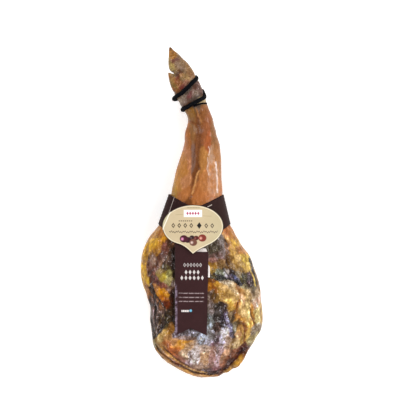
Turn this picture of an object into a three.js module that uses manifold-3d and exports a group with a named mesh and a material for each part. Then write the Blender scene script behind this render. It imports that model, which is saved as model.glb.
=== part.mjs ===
// A whole cured shoulder of ham as it is sold, lying on its back on a table.
// The meat, rind, bones and trotter are one natural solid. Round the trotter is a black hanging cord.
// Round the neck is a card band, with a medallion on its front and a long card strip hanging below.
//
// Millimetres. +Y runs from the meat end to the hoof, +X to the right seen from above, and +Z up from the table.
// The origin is on the table under the middle of the whole object.

import * as THREE from 'three';
import { mergeVertices } from 'three/addons/utils/BufferGeometryUtils.js';
import Module from 'manifold-3d';

const wasm = await Module();
wasm.setup();

// ---- driving dimensions ----

const GAP = 0.4; // between pieces that touch
const CARD = 0.8; // thickness of the printed card
const PAPER = 0.5; // thickness of the white paper

// The ham's outline at stations along Y: where its left and right edges, its underside and its top lie.
// The underside runs below the table where the weight of the ham has pressed it flat.
const HAM = {
  roundness: 2.15,
  stations: [
    { y: 281, left: -59, right: -13, bottom: 27, top: 57 },
    { y: 269, left: -60, right: -5.5, bottom: 23, top: 60 },
    { y: 252, left: -58, right: 2, bottom: 21, top: 62 },
    { y: 236, left: -52.5, right: 7, bottom: 21, top: 63 },
    { y: 219, left: -43, right: 12.5, bottom: 22, top: 63 },
    { y: 204, left: -32.5, right: 18.5, bottom: 23, top: 63 },
    { y: 187, left: -28, right: 24, bottom: 23, top: 64 },
    { y: 168, left: -33, right: 29, bottom: 22, top: 68 },
    { y: 147, left: -35, right: 35.5, bottom: 20, top: 72 },
    { y: 124, left: -40, right: 38.5, bottom: 18, top: 76 },
    { y: 100, left: -48, right: 40, bottom: 16, top: 79 },
    { y: 71, left: -55.5, right: 40.5, bottom: 14, top: 82 },
    { y: 38, left: -63, right: 42.5, bottom: 12, top: 85 },
    { y: 14, left: -71, right: 44.5, bottom: 10, top: 88 },
    { y: -9, left: -79.5, right: 50, bottom: 7, top: 91 },
    { y: -27, left: -89.5, right: 58.5, bottom: 4, top: 92 },
    { y: -44, left: -103.5, right: 68.5, bottom: 2, top: 94 },
    { y: -64, left: -115.5, right: 80.5, bottom: -1, top: 96 },
    { y: -85, left: -123, right: 96.5, bottom: -4, top: 97 },
    { y: -110, left: -124.5, right: 106, bottom: -5, top: 98 },
    { y: -136, left: -123.5, right: 115.5, bottom: -6, top: 98 },
    { y: -163, left: -114.5, right: 120.5, bottom: -6, top: 97 },
    { y: -192, left: -106.5, right: 123, bottom: -6, top: 95 },
    { y: -219, left: -105.5, right: 125, bottom: -6, top: 91 },
    { y: -243, left: -103, right: 119.5, bottom: -5, top: 86 },
    { y: -268, left: -100.5, right: 105.5, bottom: -4, top: 79 },
    { y: -289, left: -91, right: 91.5, bottom: -2, top: 71 },
    { y: -307, left: -74, right: 82, bottom: 1, top: 63 },
    { y: -321, left: -55, right: 68, bottom: 5, top: 56 },
    { y: -332, left: -33, right: 47.5, bottom: 12, top: 49 },
    { y: -337, left: -14, right: 29, bottom: 18, top: 43 },
    { y: -339, left: 3, right: 15, bottom: 26, top: 36 },
  ],
};

// The two main claws lie one above the other, and so do the two dewclaws behind them.
const CLAW = {
  roundness: 2.2,
  half_height: 11,
  tip_height: 2,
  levels: [52, 33],
  stations: [
    { y: 339, left: -66.5, right: -63.5 },
    { y: 333, left: -67.5, right: -57.5 },
    { y: 325, left: -68, right: -47 },
    { y: 317, left: -68.5, right: -40 },
    { y: 309, left: -69, right: -30.5 },
    { y: 300, left: -68.3, right: -23.5 },
    { y: 293, left: -65.5, right: -18.5 },
    { y: 288, left: -59.5, right: -16 },
    { y: 281, left: -54, right: -13 },
    { y: 265, left: -48, right: -9 },
  ],
};
const DEWCLAW = {
  roundness: 2,
  half_height: 9,
  tip_height: 1.5,
  levels: [51, 34],
  stations: [
    { y: 287, left: -69.5, right: -67 },
    { y: 285, left: -69.3, right: -60 },
    { y: 280, left: -68.7, right: -55 },
    { y: 273, left: -67.3, right: -50 },
    { y: 263, left: -64.8, right: -44 },
    { y: 251, left: -59.5, right: -38 },
    { y: 240, left: -50, right: -34 },
  ],
};

// The cord winds down the leg from the claws. Its route gives how far along the leg and how far off the skin its
// middle is, by turns: whole turns are at the right, and quarter turns on top. Its end is drawn thin.
const CORD = {
  diameter: 8.2,
  tail_diameter: 3.2,
  tail_from: 1.75,
  tail_to: 1.95,
  sides: 8,
  steps: 72,
  knot_diameter: 15,
  knot_length: 20,
  route: [
    { turn: -0.3, y: 268, off: 2.9 },
    { turn: -0.15, y: 275.5, off: 2 },
    { turn: -0.05, y: 278.5, off: 0.5 },
    { turn: 0, y: 277.5, off: -1 },
    { turn: 0.06, y: 275.5, off: 0 },
    { turn: 0.12, y: 271.5, off: 2 },
    { turn: 0.18, y: 265.5, off: 2.9 },
    { turn: 0.25, y: 255, off: 2.9 },
    { turn: 0.32, y: 244.5, off: 2.9 },
    { turn: 0.4, y: 239.5, off: 2.9 },
    { turn: 0.46, y: 237, off: 4.5 },
    { turn: 0.5, y: 236, off: 5.2 },
    { turn: 0.56, y: 236, off: 4.5 },
    { turn: 0.65, y: 238.5, off: 2.9 },
    { turn: 0.8, y: 247, off: 2.5 },
    { turn: 0.92, y: 251, off: 0.5 },
    { turn: 0.96, y: 250.5, off: -0.8 },
    { turn: 1, y: 245, off: -1.2 },
    { turn: 1.05, y: 238, off: 0.4 },
    { turn: 1.1, y: 234.5, off: 2.2 },
    { turn: 1.17, y: 229.5, off: 2.9 },
    { turn: 1.25, y: 223, off: 2.9 },
    { turn: 1.33, y: 216.5, off: 2.9 },
    { turn: 1.42, y: 213.5, off: 2 },
    { turn: 1.5, y: 212, off: 0.8 },
    { turn: 1.6, y: 213.5, off: 2 },
    { turn: 1.75, y: 219, off: 2.5 },
    { turn: 1.9, y: 224, off: 0.5 },
    { turn: 2, y: 224.5, off: -1.4 },
    { turn: 2.08, y: 224, off: 0.2 },
    { turn: 2.14, y: 223.3, off: 0.4 },
    { turn: 2.2, y: 221, off: 0.4 },
    { turn: 2.26, y: 217.5, off: 0.4 },
  ],
};

// The band's edges fall in a straight V from both sides to the middle of the front, and run level at the back.
const BAND = {
  top_y: 37.5,
  bottom_y: -24,
  top_fall: 28,
  bottom_fall: 37,
  clearance: 1.4,
  slack_left: 6.3, // extra room at the top edge on the left
  lap_deg: 24,
  lap_step: CARD + GAP,
};

// The strip starts under the medallion, lower at the right, and ends in a swallow tail.
const STRIP = {
  left: -54,
  right: 13.5,
  taper: 3.5,
  top_left_y: -56,
  top_right_y: -81,
  bottom_y: -248,
  notch: 15,
  clearance: 2.6,
};

const MEDALLION = {
  x: -18,
  y: -27.5,
  half_width: 61.7,
  half_height: 43.3,
  point: 13, // how far the lower rim is drawn down to a point
  point_half_width: 45,
  rise: 7.2, // of its middle above the ham
  bend: 13, // how far its sides bend down round the neck
};

// A white slip lies a little askew behind the strip, so that it shows at the strip's top and right edges.
const SLIP = { left: -12, top_right: 9.5, bottom_right: 17.5, top_y: -71, bottom_y: -131, clearance: 1.4 };

// ---- shapes by formula ----

const smooth = (t) => {
  const s = Math.min(1, Math.max(0, t));
  return s * s * (3 - 2 * s);
};
const mix = (from, to, share) => from + (to - from) * share;
const signedPower = (value, power) => Math.sign(value) * Math.abs(value) ** power;

// The value of one column at a place: a smooth curve through the stations, whose slope at each is that of its
// neighbours. The key is the column that says where the stations are.
function valueAt(stations, column, place, key = 'y') {
  const last = stations.length - 1;
  const onward = Math.sign(stations[last][key] - stations[0][key]);
  let i = 0;
  while (i < last - 1 && (place - stations[i + 1][key]) * onward > 0) i += 1;
  const slope = (k) => {
    const a = stations[Math.max(0, k - 1)];
    const b = stations[Math.min(last, k + 1)];
    return (b[column] - a[column]) / (b[key] - a[key]);
  };
  const a = stations[i];
  const b = stations[i + 1];
  const span = b[key] - a[key];
  const t = Math.min(1, Math.max(0, (place - a[key]) / span));
  return (
    (2 * t ** 3 - 3 * t ** 2 + 1) * a[column] +
    (t ** 3 - 2 * t ** 2 + t) * span * slope(i) +
    (3 * t ** 2 - 2 * t ** 3) * b[column] +
    (t ** 3 - t ** 2) * span * slope(i + 1)
  );
}

// A point on a limb: the slice at y is a rounded box between its four edges. Angle 0 is +X and a quarter turn is +Z.
function limbPoint(limb, y, angle) {
  const at = (column) => valueAt(limb.stations, column, y);
  const across = signedPower(Math.cos(angle), 2 / limb.roundness);
  const up = signedPower(Math.sin(angle), 2 / limb.roundness);
  const [left, right, bottom, top] = ['left', 'right', 'bottom', 'top'].map(at);
  return new THREE.Vector3(
    (left + right) / 2 + (across * (right - left)) / 2,
    y,
    (bottom + top) / 2 + (up * (top - bottom)) / 2,
  );
}

// The skin's outward direction on the ham, from the slopes along it and round it.
function skinNormal(y, angle) {
  const step = 0.5;
  const turn = 0.01;
  const along = limbPoint(HAM, y + step, angle).sub(limbPoint(HAM, y - step, angle));
  const round = limbPoint(HAM, y, angle + turn).sub(limbPoint(HAM, y, angle - turn));
  return along.cross(round).normalize();
}

const offSkin = (y, angle, distance) =>
  limbPoint(HAM, y, angle).addScaledVector(skinNormal(y, angle), distance);

// The height of the ham's top at a place on it.
function hamTop(x, y) {
  const at = (column) => valueAt(HAM.stations, column, y);
  const across = Math.min(1, Math.abs((2 * x - at('left') - at('right')) / (at('right') - at('left'))));
  const up = (1 - across ** HAM.roundness) ** (1 / HAM.roundness);
  return (at('bottom') + at('top')) / 2 + (up * (at('top') - at('bottom'))) / 2;
}

// ---- solids ----

// A closed geometry from rings of points: the rings are joined in order, and the two ends are fans.
function ringSolid(rings) {
  const points = [];
  const faces = [];
  const sides = rings[0].length;
  rings.forEach((ring) => ring.forEach((p) => points.push(p.x, p.y, p.z)));
  for (let r = 0; r < rings.length - 1; r += 1) {
    for (let s = 0; s < sides; s += 1) {
      const a = r * sides + s;
      const b = r * sides + ((s + 1) % sides);
      faces.push(a, b, b + sides, a, b + sides, a + sides);
    }
  }
  for (const [ring, turned] of [[0, true], [rings.length - 1, false]]) {
    const centre = points.length / 3;
    const middle = rings[ring].reduce((sum, p) => sum.add(p), new THREE.Vector3()).divideScalar(sides);
    points.push(middle.x, middle.y, middle.z);
    for (let s = 0; s < sides; s += 1) {
      const a = ring * sides + s;
      const b = ring * sides + ((s + 1) % sides);
      faces.push(...(turned ? [b, a, centre] : [a, b, centre]));
    }
  }
  return indexed(points, faces);
}

// A closed sheet from two grids of points of the same shape, its front and its back, joined round the rim.
// A first row that is all one point makes a disc, whose columns then meet round it.
function sheetSolid(front, back, disc = false) {
  const rows = front.length;
  const columns = front[0].length;
  const points = [...front.flat(), ...back.flat()].flatMap((p) => [p.x, p.y, p.z]);
  const faces = [];
  const at = (side, r, c) => side * rows * columns + r * columns + (disc ? c % columns : c);
  const quad = (a, b, c, d) => faces.push(a, b, c, a, c, d);
  const spans = disc ? columns : columns - 1;
  for (let r = 0; r < rows - 1; r += 1) {
    for (let c = 0; c < spans; c += 1) {
      quad(at(0, r, c), at(0, r + 1, c), at(0, r + 1, c + 1), at(0, r, c + 1));
      quad(at(1, r, c), at(1, r, c + 1), at(1, r + 1, c + 1), at(1, r + 1, c));
    }
  }
  for (let c = 0; c < spans; c += 1) {
    if (!disc) quad(at(0, 0, c), at(0, 0, c + 1), at(1, 0, c + 1), at(1, 0, c));
    quad(at(0, rows - 1, c + 1), at(0, rows - 1, c), at(1, rows - 1, c), at(1, rows - 1, c + 1));
  }
  if (!disc) {
    for (let r = 0; r < rows - 1; r += 1) {
      quad(at(0, r + 1, 0), at(0, r, 0), at(1, r, 0), at(1, r + 1, 0));
      quad(at(0, r, columns - 1), at(0, r + 1, columns - 1), at(1, r + 1, columns - 1), at(1, r, columns - 1));
    }
  }
  return indexed(points, faces);
}

// An indexed geometry with its shared points merged and the triangles without any area left out.
function indexed(points, faces) {
  const raw = new THREE.BufferGeometry();
  raw.setAttribute('position', new THREE.Float32BufferAttribute(points, 3));
  raw.setIndex(faces);
  const merged = mergeVertices(raw, 1e-4);
  const corners = merged.index.array;
  const kept = [];
  for (let i = 0; i < corners.length; i += 3) {
    const [a, b, c] = corners.subarray(i, i + 3);
    if (a !== b && b !== c && c !== a) kept.push(a, b, c);
  }
  merged.setIndex(kept);
  return merged;
}

function toSolid(geometry) {
  const bare = geometry.clone();
  bare.deleteAttribute('normal');
  bare.deleteAttribute('uv');
  const merged = mergeVertices(bare, 1e-4);
  return new wasm.Manifold(
    new wasm.Mesh({
      numProp: 3,
      vertProperties: merged.attributes.position.array,
      triVerts: new Uint32Array(merged.index.array),
    }),
  );
}

function toGeometry(solid) {
  const { numProp, vertProperties, triVerts } = solid.getMesh();
  const geometry = new THREE.BufferGeometry();
  const positions = new Float32Array((vertProperties.length / numProp) * 3);
  for (let i = 0; i < positions.length / 3; i += 1) {
    positions.set(vertProperties.subarray(i * numProp, i * numProp + 3), i * 3);
  }
  geometry.setAttribute('position', new THREE.BufferAttribute(positions, 3));
  geometry.setIndex(new THREE.BufferAttribute(triVerts, 1));
  geometry.computeVertexNormals();
  return geometry;
}

// A limb's slices at its stations and at even steps between them, as one solid.
function limbSolid(limb, sides, steps) {
  const places = limb.stations.slice(0, -1).flatMap((a, i) => {
    const b = limb.stations[i + 1];
    return Array.from({ length: steps }, (_, k) => a.y + ((b.y - a.y) * k) / steps);
  });
  places.push(limb.stations.at(-1).y);
  const angles = Array.from({ length: sides }, (_, s) => (2 * Math.PI * s) / sides);
  return toSolid(ringSolid(places.map((y) => angles.map((angle) => limbPoint(limb, y, angle)))));
}

// A claw at one level: its height grows from the tip as the arc of an ellipse does.
function clawSolid(claw, level, sides, steps) {
  const { y: tip } = claw.stations[0];
  const { y: root } = claw.stations.at(-1);
  const stations = claw.stations.map((station) => {
    const share = (tip - station.y) / (tip - root);
    const half = claw.tip_height + (claw.half_height - claw.tip_height) * Math.sqrt(share * (2 - share));
    const middle = level + (42.5 - level) * 0.3 * (1 - share);
    return { ...station, bottom: middle - half, top: middle + half };
  });
  return limbSolid({ ...claw, stations }, sides, steps);
}

// ---- the hanging cord ----

// The middle of the cord at a turn.
function cordPoint(turn) {
  const at = (column) => valueAt(CORD.route, column, turn, 'turn');
  return offSkin(at('y'), 2 * Math.PI * turn, at('off'));
}

// The cord with the knot at its upper end, behind the leg. Grown by a margin, it is the bed it lies in.
function cordSolid(margin) {
  const first = CORD.route[0].turn;
  const last = CORD.route.at(-1).turn;
  const angles = Array.from({ length: CORD.sides }, (_, s) => (2 * Math.PI * s) / CORD.sides);
  const rings = Array.from({ length: CORD.steps + 1 }, (_, i) => {
    const turn = mix(first, last, i / CORD.steps);
    const middle = cordPoint(turn);
    const along = cordPoint(turn + 0.004).sub(cordPoint(turn - 0.004)).normalize();
    const outward = skinNormal(valueAt(CORD.route, 'y', turn, 'turn'), 2 * Math.PI * turn);
    const side = outward.cross(along).normalize();
    const up = along.cross(side);
    const thin = smooth((turn - CORD.tail_from) / (CORD.tail_to - CORD.tail_from));
    const radius = mix(CORD.diameter, CORD.tail_diameter, thin) / 2 + margin;
    return angles.map((angle) =>
      middle
        .clone()
        .addScaledVector(side, radius * Math.cos(angle))
        .addScaledVector(up, radius * Math.sin(angle)),
    );
  });
  const knot = new THREE.IcosahedronGeometry(CORD.knot_diameter / 2 + margin, 2);
  const start = cordPoint(first);
  knot.scale(1, CORD.knot_length / CORD.knot_diameter, 0.8).translate(start.x, start.y, start.z);
  return toSolid(ringSolid(rings)).add(toSolid(knot));
}

// ---- the printed card ----

// How far down the V the band's edges are: 0 at the sides and round the back, 1 in the middle of the front.
const vee = (angle) => (Math.sin(angle) > 0 ? 1 - Math.abs(Math.cos(angle)) : 0);

function bandGrid(offset, columns, rows) {
  const lap = THREE.MathUtils.degToRad(BAND.lap_deg);
  const edges = Array.from({ length: columns + 1 }, (_, c) => {
    const share = c / columns;
    const angle = -Math.PI / 2 + lap / 2 - (2 * Math.PI + lap) * share;
    const clear = BAND.clearance + BAND.lap_step * share + offset;
    const left = (BAND.slack_left * (1 - Math.cos(angle))) / 2;
    return [
      offSkin(BAND.top_y - BAND.top_fall * vee(angle), angle, clear + left),
      offSkin(BAND.bottom_y - BAND.bottom_fall * vee(angle), angle, clear),
    ];
  });
  return Array.from({ length: rows + 1 }, (_, r) =>
    edges.map(([top, bottom]) => top.clone().lerp(bottom, r / rows)),
  );
}

// The side of a card that lies on the ham, at a height above it: rows run down the card, and columns across.
function onHam(rows, columns, edges, lift) {
  return Array.from({ length: rows + 1 }, (_, r) =>
    Array.from({ length: columns + 1 }, (_, c) => {
      const [x, y] = edges(r / rows, c / columns);
      return new THREE.Vector3(x, y, hamTop(x, y) + lift);
    }),
  );
}

// The strip narrows a little towards its swallow tail.
function stripEdges(down, across) {
  const x = mix(STRIP.left, STRIP.right - STRIP.taper * down, across);
  const top = mix(STRIP.top_left_y, STRIP.top_right_y, smooth(1.45 * across));
  const bottom = STRIP.bottom_y + STRIP.notch * (1 - Math.abs(2 * across - 1));
  return [x, mix(top, bottom, down)];
}

const slipEdges = (down, across) => [
  mix(SLIP.left, mix(SLIP.top_right, SLIP.bottom_right, down), across),
  mix(SLIP.top_y, SLIP.bottom_y, down),
];

// An ellipse whose lower rim is drawn down to a point.
function medallionRim(angle) {
  const x = MEDALLION.half_width * Math.cos(angle);
  const drawn = Math.max(0, 1 - Math.abs(x) / MEDALLION.point_half_width) ** 3;
  const y = MEDALLION.half_height * Math.sin(angle) - (Math.sin(angle) < 0 ? MEDALLION.point * drawn : 0);
  return [x, y];
}

function medallionGrid(rings, sides, lift) {
  return Array.from({ length: rings + 1 }, (_, r) =>
    Array.from({ length: sides }, (_, s) => {
      const [x, y] = medallionRim((2 * Math.PI * s) / sides - Math.PI / 2).map((v) => (v * r) / rings);
      const bent = MEDALLION.bend * (x / MEDALLION.half_width) ** 2;
      const z = hamTop(MEDALLION.x, MEDALLION.y + y) + MEDALLION.rise - bent + lift;
      return new THREE.Vector3(MEDALLION.x + x, MEDALLION.y + y, z);
    }),
  );
}

// ---- the pieces ----

const materials = {
  ham: new THREE.MeshStandardMaterial({ color: 0xb06a2c, roughness: 0.4 }),
  cord: new THREE.MeshStandardMaterial({ color: 0x101216, roughness: 0.7 }),
  brownCard: new THREE.MeshStandardMaterial({ color: 0x3f2a28, roughness: 0.5 }),
  creamCard: new THREE.MeshStandardMaterial({ color: 0xe0cba6, roughness: 0.45 }),
  whitePaper: new THREE.MeshStandardMaterial({ color: 0xeae2de, roughness: 0.6 }),
};

function piece(name, geometry, material) {
  const mesh = new THREE.Mesh(geometry, material);
  mesh.name = name;
  return mesh;
}

function shoulder() {
  const body = limbSolid(HAM, 32, 2);
  const claws = CLAW.levels.map((level) => clawSolid(CLAW, level, 16, 2));
  const dewclaws = DEWCLAW.levels.map((level) => clawSolid(DEWCLAW, level, 12, 2));
  const whole = [...claws, ...dewclaws].reduce((sum, claw) => sum.add(claw), body);
  const tall = 400;
  const wide = 900;
  const aboveTable = toSolid(new THREE.BoxGeometry(wide, wide, tall).translate(0, 0, tall / 2));
  return toGeometry(whole.intersect(aboveTable).subtract(cordSolid(GAP)));
}

const band = sheetSolid(bandGrid(CARD, 64, 3), bandGrid(0, 64, 3));
const medallion = sheetSolid(medallionGrid(4, 48, CARD), medallionGrid(4, 48, 0), true);
const strip = sheetSolid(
  onHam(20, 6, stripEdges, STRIP.clearance + CARD),
  onHam(20, 6, stripEdges, STRIP.clearance),
);
const slip = sheetSolid(
  onHam(6, 3, slipEdges, SLIP.clearance + PAPER),
  onHam(6, 3, slipEdges, SLIP.clearance),
);

const ham = new THREE.Group();
ham.add(
  piece('cured_shoulder', shoulder(), materials.ham),
  piece('hanging_cord', toGeometry(cordSolid(0)), materials.cord),
  piece('neck_band', band, materials.brownCard),
  piece('front_strip', strip, materials.brownCard),
  piece('medallion', medallion, materials.creamCard),
  piece('paper_slip', slip, materials.whitePaper),
);

export default ham;
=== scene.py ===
import bpy
import numpy as np
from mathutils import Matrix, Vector


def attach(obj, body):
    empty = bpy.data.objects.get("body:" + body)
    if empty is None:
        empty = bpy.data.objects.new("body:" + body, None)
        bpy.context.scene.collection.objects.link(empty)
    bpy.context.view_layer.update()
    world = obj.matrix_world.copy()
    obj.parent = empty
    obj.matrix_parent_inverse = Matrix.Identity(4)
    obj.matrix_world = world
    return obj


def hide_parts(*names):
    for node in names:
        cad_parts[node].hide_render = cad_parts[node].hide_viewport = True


# A cured shoulder ham on its back, with a black hanging cord and its printed cards.
# Shapes are worked out in millimetres, in the frame's own axes, and put into meshes in metres.

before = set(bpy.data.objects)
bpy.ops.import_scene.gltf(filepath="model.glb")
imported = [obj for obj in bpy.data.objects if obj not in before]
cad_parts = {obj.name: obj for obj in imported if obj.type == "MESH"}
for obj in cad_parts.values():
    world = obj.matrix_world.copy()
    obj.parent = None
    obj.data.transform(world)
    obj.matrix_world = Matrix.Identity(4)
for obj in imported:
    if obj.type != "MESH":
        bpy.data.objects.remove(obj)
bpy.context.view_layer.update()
mm = 0.001

# Camera, straight above.

cameraSetup = {
    "height": 2.7,              # above the outline's level
    "outlineLevel": 0.048,      # the height of the ham's widest outline
    "frameHeight": 0.861,       # what the picture's long side takes in at that level
    "centre": (-0.0037, 0.0056),
    "sensor": 36,
}

cameraData = bpy.data.cameras.new("camera")
cameraData.sensor_width = cameraSetup["sensor"]
cameraData.lens = cameraSetup["sensor"] * cameraSetup["height"] / cameraSetup["frameHeight"]
camera = bpy.data.objects.new("camera", cameraData)
camera.location = (*cameraSetup["centre"], cameraSetup["outlineLevel"] + cameraSetup["height"])
bpy.context.collection.objects.link(camera)
bpy.context.scene.camera = camera
print("camera set")


# Numbers.

noiseMaker = {
    "axes": (374761393, 668265263, 1442695041), "seed": 974634777, "spread": 1274126177,
    "bits": 0xFFFFFFFF,
    "nextLayer": 17,            # from one layer's seed to the next one's
    "twoLayers": 1.5,           # the most that two layers add up to
}


def smooth(t):                                   # an s-curve from 0 to 1
    share = np.clip(t, 0, 1)
    return share * share * (3 - 2 * share)


def bell(t):                                     # 1 at 0, falling to nothing either side of it
    return np.exp(-np.asarray(t) ** 2)


def mixed(first, second, share):                 # the first at 0, the second at 1
    return first + (second - first) * share


def curveThrough(stations, column, y):
    # The cubic through the stations' values of one column, each slope being that of its neighbours' chord.
    table = np.array(sorted(stations), dtype=float)
    ys, values = table[:, 0], table[:, column]
    slopes = np.gradient(values, ys)
    slopes[1:-1] = (values[2:] - values[:-2]) / (ys[2:] - ys[:-2])
    before = np.clip(np.searchsorted(ys, y) - 1, 0, len(ys) - 2)
    after = before + 1
    span = ys[after] - ys[before]
    t = np.clip((y - ys[before]) / span, 0, 1)
    return ((2 * t**3 - 3 * t**2 + 1) * values[before] + (t**3 - 2 * t**2 + t) * span * slopes[before]
            + (3 * t**2 - 2 * t**3) * values[after] + (t**3 - t**2) * span * slopes[after])


def latticeNoise(points, size, seed):
    # Random values at the corners of a cubic lattice, blended smoothly between them: -1 to 1. A corner's
    # value is its three whole numbers and the seed, each times a large number, with the bits stirred twice.
    cell = np.floor(points / size).astype(np.int64)
    share = smooth(points / size - cell)
    total = np.zeros(len(points))
    for corner in range(8):
        step = np.array([corner & 1, corner >> 1 & 1, corner >> 2 & 1])
        value = (cell + step) @ np.array(noiseMaker["axes"]) + seed * noiseMaker["seed"]
        value = value & noiseMaker["bits"]
        value = ((value ^ (value >> 13)) * noiseMaker["spread"]) & noiseMaker["bits"]
        value = (value ^ (value >> 16)) / 2**31 - 1
        total += value * np.prod(np.where(step, share, 1 - share), axis=1)
    return total


def fractalNoise(points, size, layers, seed):    # each layer is half as large and half as strong as the last
    total = np.zeros(len(points))
    for layer in range(layers):
        total += latticeNoise(points, size / 2**layer, seed + noiseMaker["nextLayer"] * layer) / 2**layer
    return total / noiseMaker["twoLayers"]


def strokeDistance(xy, route):                   # how far each place is from a line through given points
    nearest = np.full(len(xy), np.inf)
    for start, end in zip(np.array(route[:-1], float), np.array(route[1:], float)):
        stretch = end - start
        along = np.clip((xy - start) @ stretch / (stretch @ stretch), 0, 1)
        nearest = np.minimum(nearest, np.linalg.norm(xy - start - along[:, None] * stretch, axis=1))
    return nearest


def turned(xy, place, turn):                     # places seen from a spot, along and across a direction
    angle = np.radians(turn)
    x, y = xy[:, 0] - place[0], xy[:, 1] - place[1]
    return x * np.cos(angle) + y * np.sin(angle), y * np.cos(angle) - x * np.sin(angle)


def linear(colour):                              # a screen colour of 0 to 255 as light, by the sRGB curve
    share = np.asarray(colour, float) / 255
    return np.where(share <= 0.04045, share / 12.92, ((share + 0.055) / 1.055) ** 2.4)


# Meshes.

def meshFrom(name, points, faces):
    mesh = bpy.data.meshes.new(name)
    mesh.from_pydata((np.asarray(points) * mm).tolist(), [], faces)
    mesh.update()
    mesh.shade_smooth()
    return mesh


def objectFrom(name, mesh, *materials):
    piece = bpy.data.objects.new(name, mesh)
    bpy.context.collection.objects.link(piece)
    for material in materials:
        mesh.materials.append(material)
    return piece


def gridFaces(rows, columns, wrap=False):
    # Quads between neighbours on a grid of rows by columns. With wrap, the last column meets the first.
    row, column = np.meshgrid(np.arange(rows - 1), np.arange(columns if wrap else columns - 1), indexing="ij")
    here, right = row * columns + column, row * columns + (column + 1) % columns
    return np.stack([here, right, right + columns, here + columns], axis=-1).reshape(-1, 4)


def closedTube(rings):
    # Rings of points carried along a path, with a fan on the first ring and one on the last.
    rows, columns = rings.shape[:2]
    quads = gridFaces(rows, columns, wrap=True)
    points = np.vstack([rings.reshape(-1, 3), rings[0].mean(0), rings[-1].mean(0)])
    side = np.arange(columns)
    nextSide = (side + 1) % columns
    lastRing, firstMiddle, lastMiddle = (rows - 1) * columns, rows * columns, rows * columns + 1
    lowFan = np.stack([nextSide, side, np.full(columns, firstMiddle)], axis=1)
    highFan = np.stack([lastRing + side, lastRing + nextSide, np.full(columns, lastMiddle)], axis=1)
    return points, quads.tolist() + lowFan.tolist() + highFan.tolist()


def joinedSolids(tubes):                         # several closed tubes as one list of points and one of faces
    points, faces, offset = [], [], 0
    for rings in tubes:
        tubePoints, tubeFaces = closedTube(rings)
        points.append(tubePoints)
        faces += [[corner + offset for corner in face] for face in tubeFaces]
        offset += len(tubePoints)
    return np.vstack(points), faces


# The ham's form.

# Each station: how far along the ham, then its left edge, right edge, underside and top.
hamShape = {
    "roundness": 2.15, "spacing": 2.5, "sides": 140,
    "slopeSteps": (0.5, 0.01),  # how far along and how far round to look for the skin's slope
    "stations": [
        (281, -59, -13, 27, 57), (275, -59.5, -9, 24, 60), (269, -60, -5.5, 23, 61),
        (260, -59.5, -1.5, 22, 62), (252, -58, 2, 21, 62), (244, -56, 4.8, 21, 63), (236, -52.5, 7, 21, 63),
        (228, -47.5, 9.5, 21.5, 63), (219, -43, 12.5, 22, 63), (211, -38, 15.5, 22.5, 63),
        (204, -32.5, 18.3, 23, 63), (195, -29, 21.8, 23, 63.5), (187, -28.2, 24, 23, 64),
        (177, -30.5, 26, 22.5, 66), (168, -33.5, 29, 22, 68), (160, -35, 30, 21, 70),
        (152, -35.2, 33.3, 20.5, 71), (147, -35.2, 35, 20, 72), (136, -37.5, 37.8, 19, 74),
        (124, -40.5, 38.5, 18, 76), (112, -44.5, 39.8, 17, 77.5), (100, -48.5, 40, 16, 79),
        (86, -52.7, 40.3, 15, 80.5), (71, -56, 40.5, 14, 82), (55, -59.7, 42, 13, 83.5),
        (38, -63, 42.5, 12, 85), (26, -67, 43, 11, 86.5), (14, -71, 44.3, 10, 88), (2, -75, 47, 8.5, 89.5),
        (-9, -79.5, 50, 7, 91), (-18, -83.5, 53.5, 5.5, 91.5), (-27, -89.5, 59, 4, 92),
        (-35, -96, 64, 3, 93), (-44, -103.5, 68.3, 2, 94), (-54, -110.5, 74.3, 0.5, 95),
        (-64, -115.5, 80, -1, 96), (-74, -119.5, 87.5, -2.5, 96.5), (-85, -123, 96.5, -4, 97),
        (-97, -124.3, 102, -4.5, 97.5), (-110, -125, 106, -5, 98), (-123, -125.2, 111, -5.5, 98),
        (-136, -123.8, 115.2, -6, 98), (-149, -120.5, 118.5, -6, 97.5), (-163, -115, 121, -6, 97),
        (-178, -110.5, 121.5, -6, 96), (-192, -106.3, 123.5, -6, 95), (-206, -106, 125, -6, 93),
        (-219, -106.5, 125.2, -6, 91), (-231, -104.5, 123.8, -5.5, 88.5), (-243, -103, 120, -5, 86),
        (-256, -101.8, 112, -4.5, 82.5), (-268, -100.5, 106, -4, 79), (-279, -97, 99, -3, 75),
        (-289, -91, 91.5, -2, 71), (-298, -83.5, 86.5, -0.5, 67), (-307, -73.5, 82, 1, 63),
        (-314, -63, 76, 3, 60), (-321, -51, 63.2, 5, 56), (-327, -39.5, 54, 8, 53),
        (-332, -28, 43.5, 12, 49), (-335, -22, 38.5, 15, 46), (-337, -17, 34.5, 18, 43),
        (-339, -8, 24, 24, 37),
    ],
}
# Each station of a claw: how far along the ham, then its left edge and right edge.
clawShape = {
    "roundness": 2.2, "spacing": 1.5, "sides": 48, "halfHeight": 11, "tipHeight": 2, "levels": (52, 33),
    "stations": [
        (340, -66.6, -64), (337, -67, -61), (333, -67.6, -57.5), (329, -67.8, -52), (325, -68, -47.3),
        (321, -68.2, -43.5), (317, -68.5, -40), (313, -68.8, -36), (309, -69, -31), (300, -68.3, -23.8),
        (296, -67.2, -21), (293, -65.6, -18.8), (290, -62, -17), (287.5, -57, -16), (281, -52, -13),
        (265, -47, -9),
    ],
}
dewclawShape = {
    "roundness": 2, "spacing": 1.5, "sides": 48, "halfHeight": 9, "tipHeight": 1.5, "levels": (51, 34),
    "stations": [
        (287.5, -69.8, -67), (285.5, -69.5, -61.5), (283.5, -69.2, -56.5), (280, -68.7, -52),
        (273, -67.3, -48), (268, -66.2, -45.5), (263, -64.8, -43), (257, -62.3, -40), (251, -59.5, -37),
        (240, -50, -34),
    ],
}
footMiddle = {"level": 42.5, "lean": 0.3}        # a claw's tip leans this share of the way to this level


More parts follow.
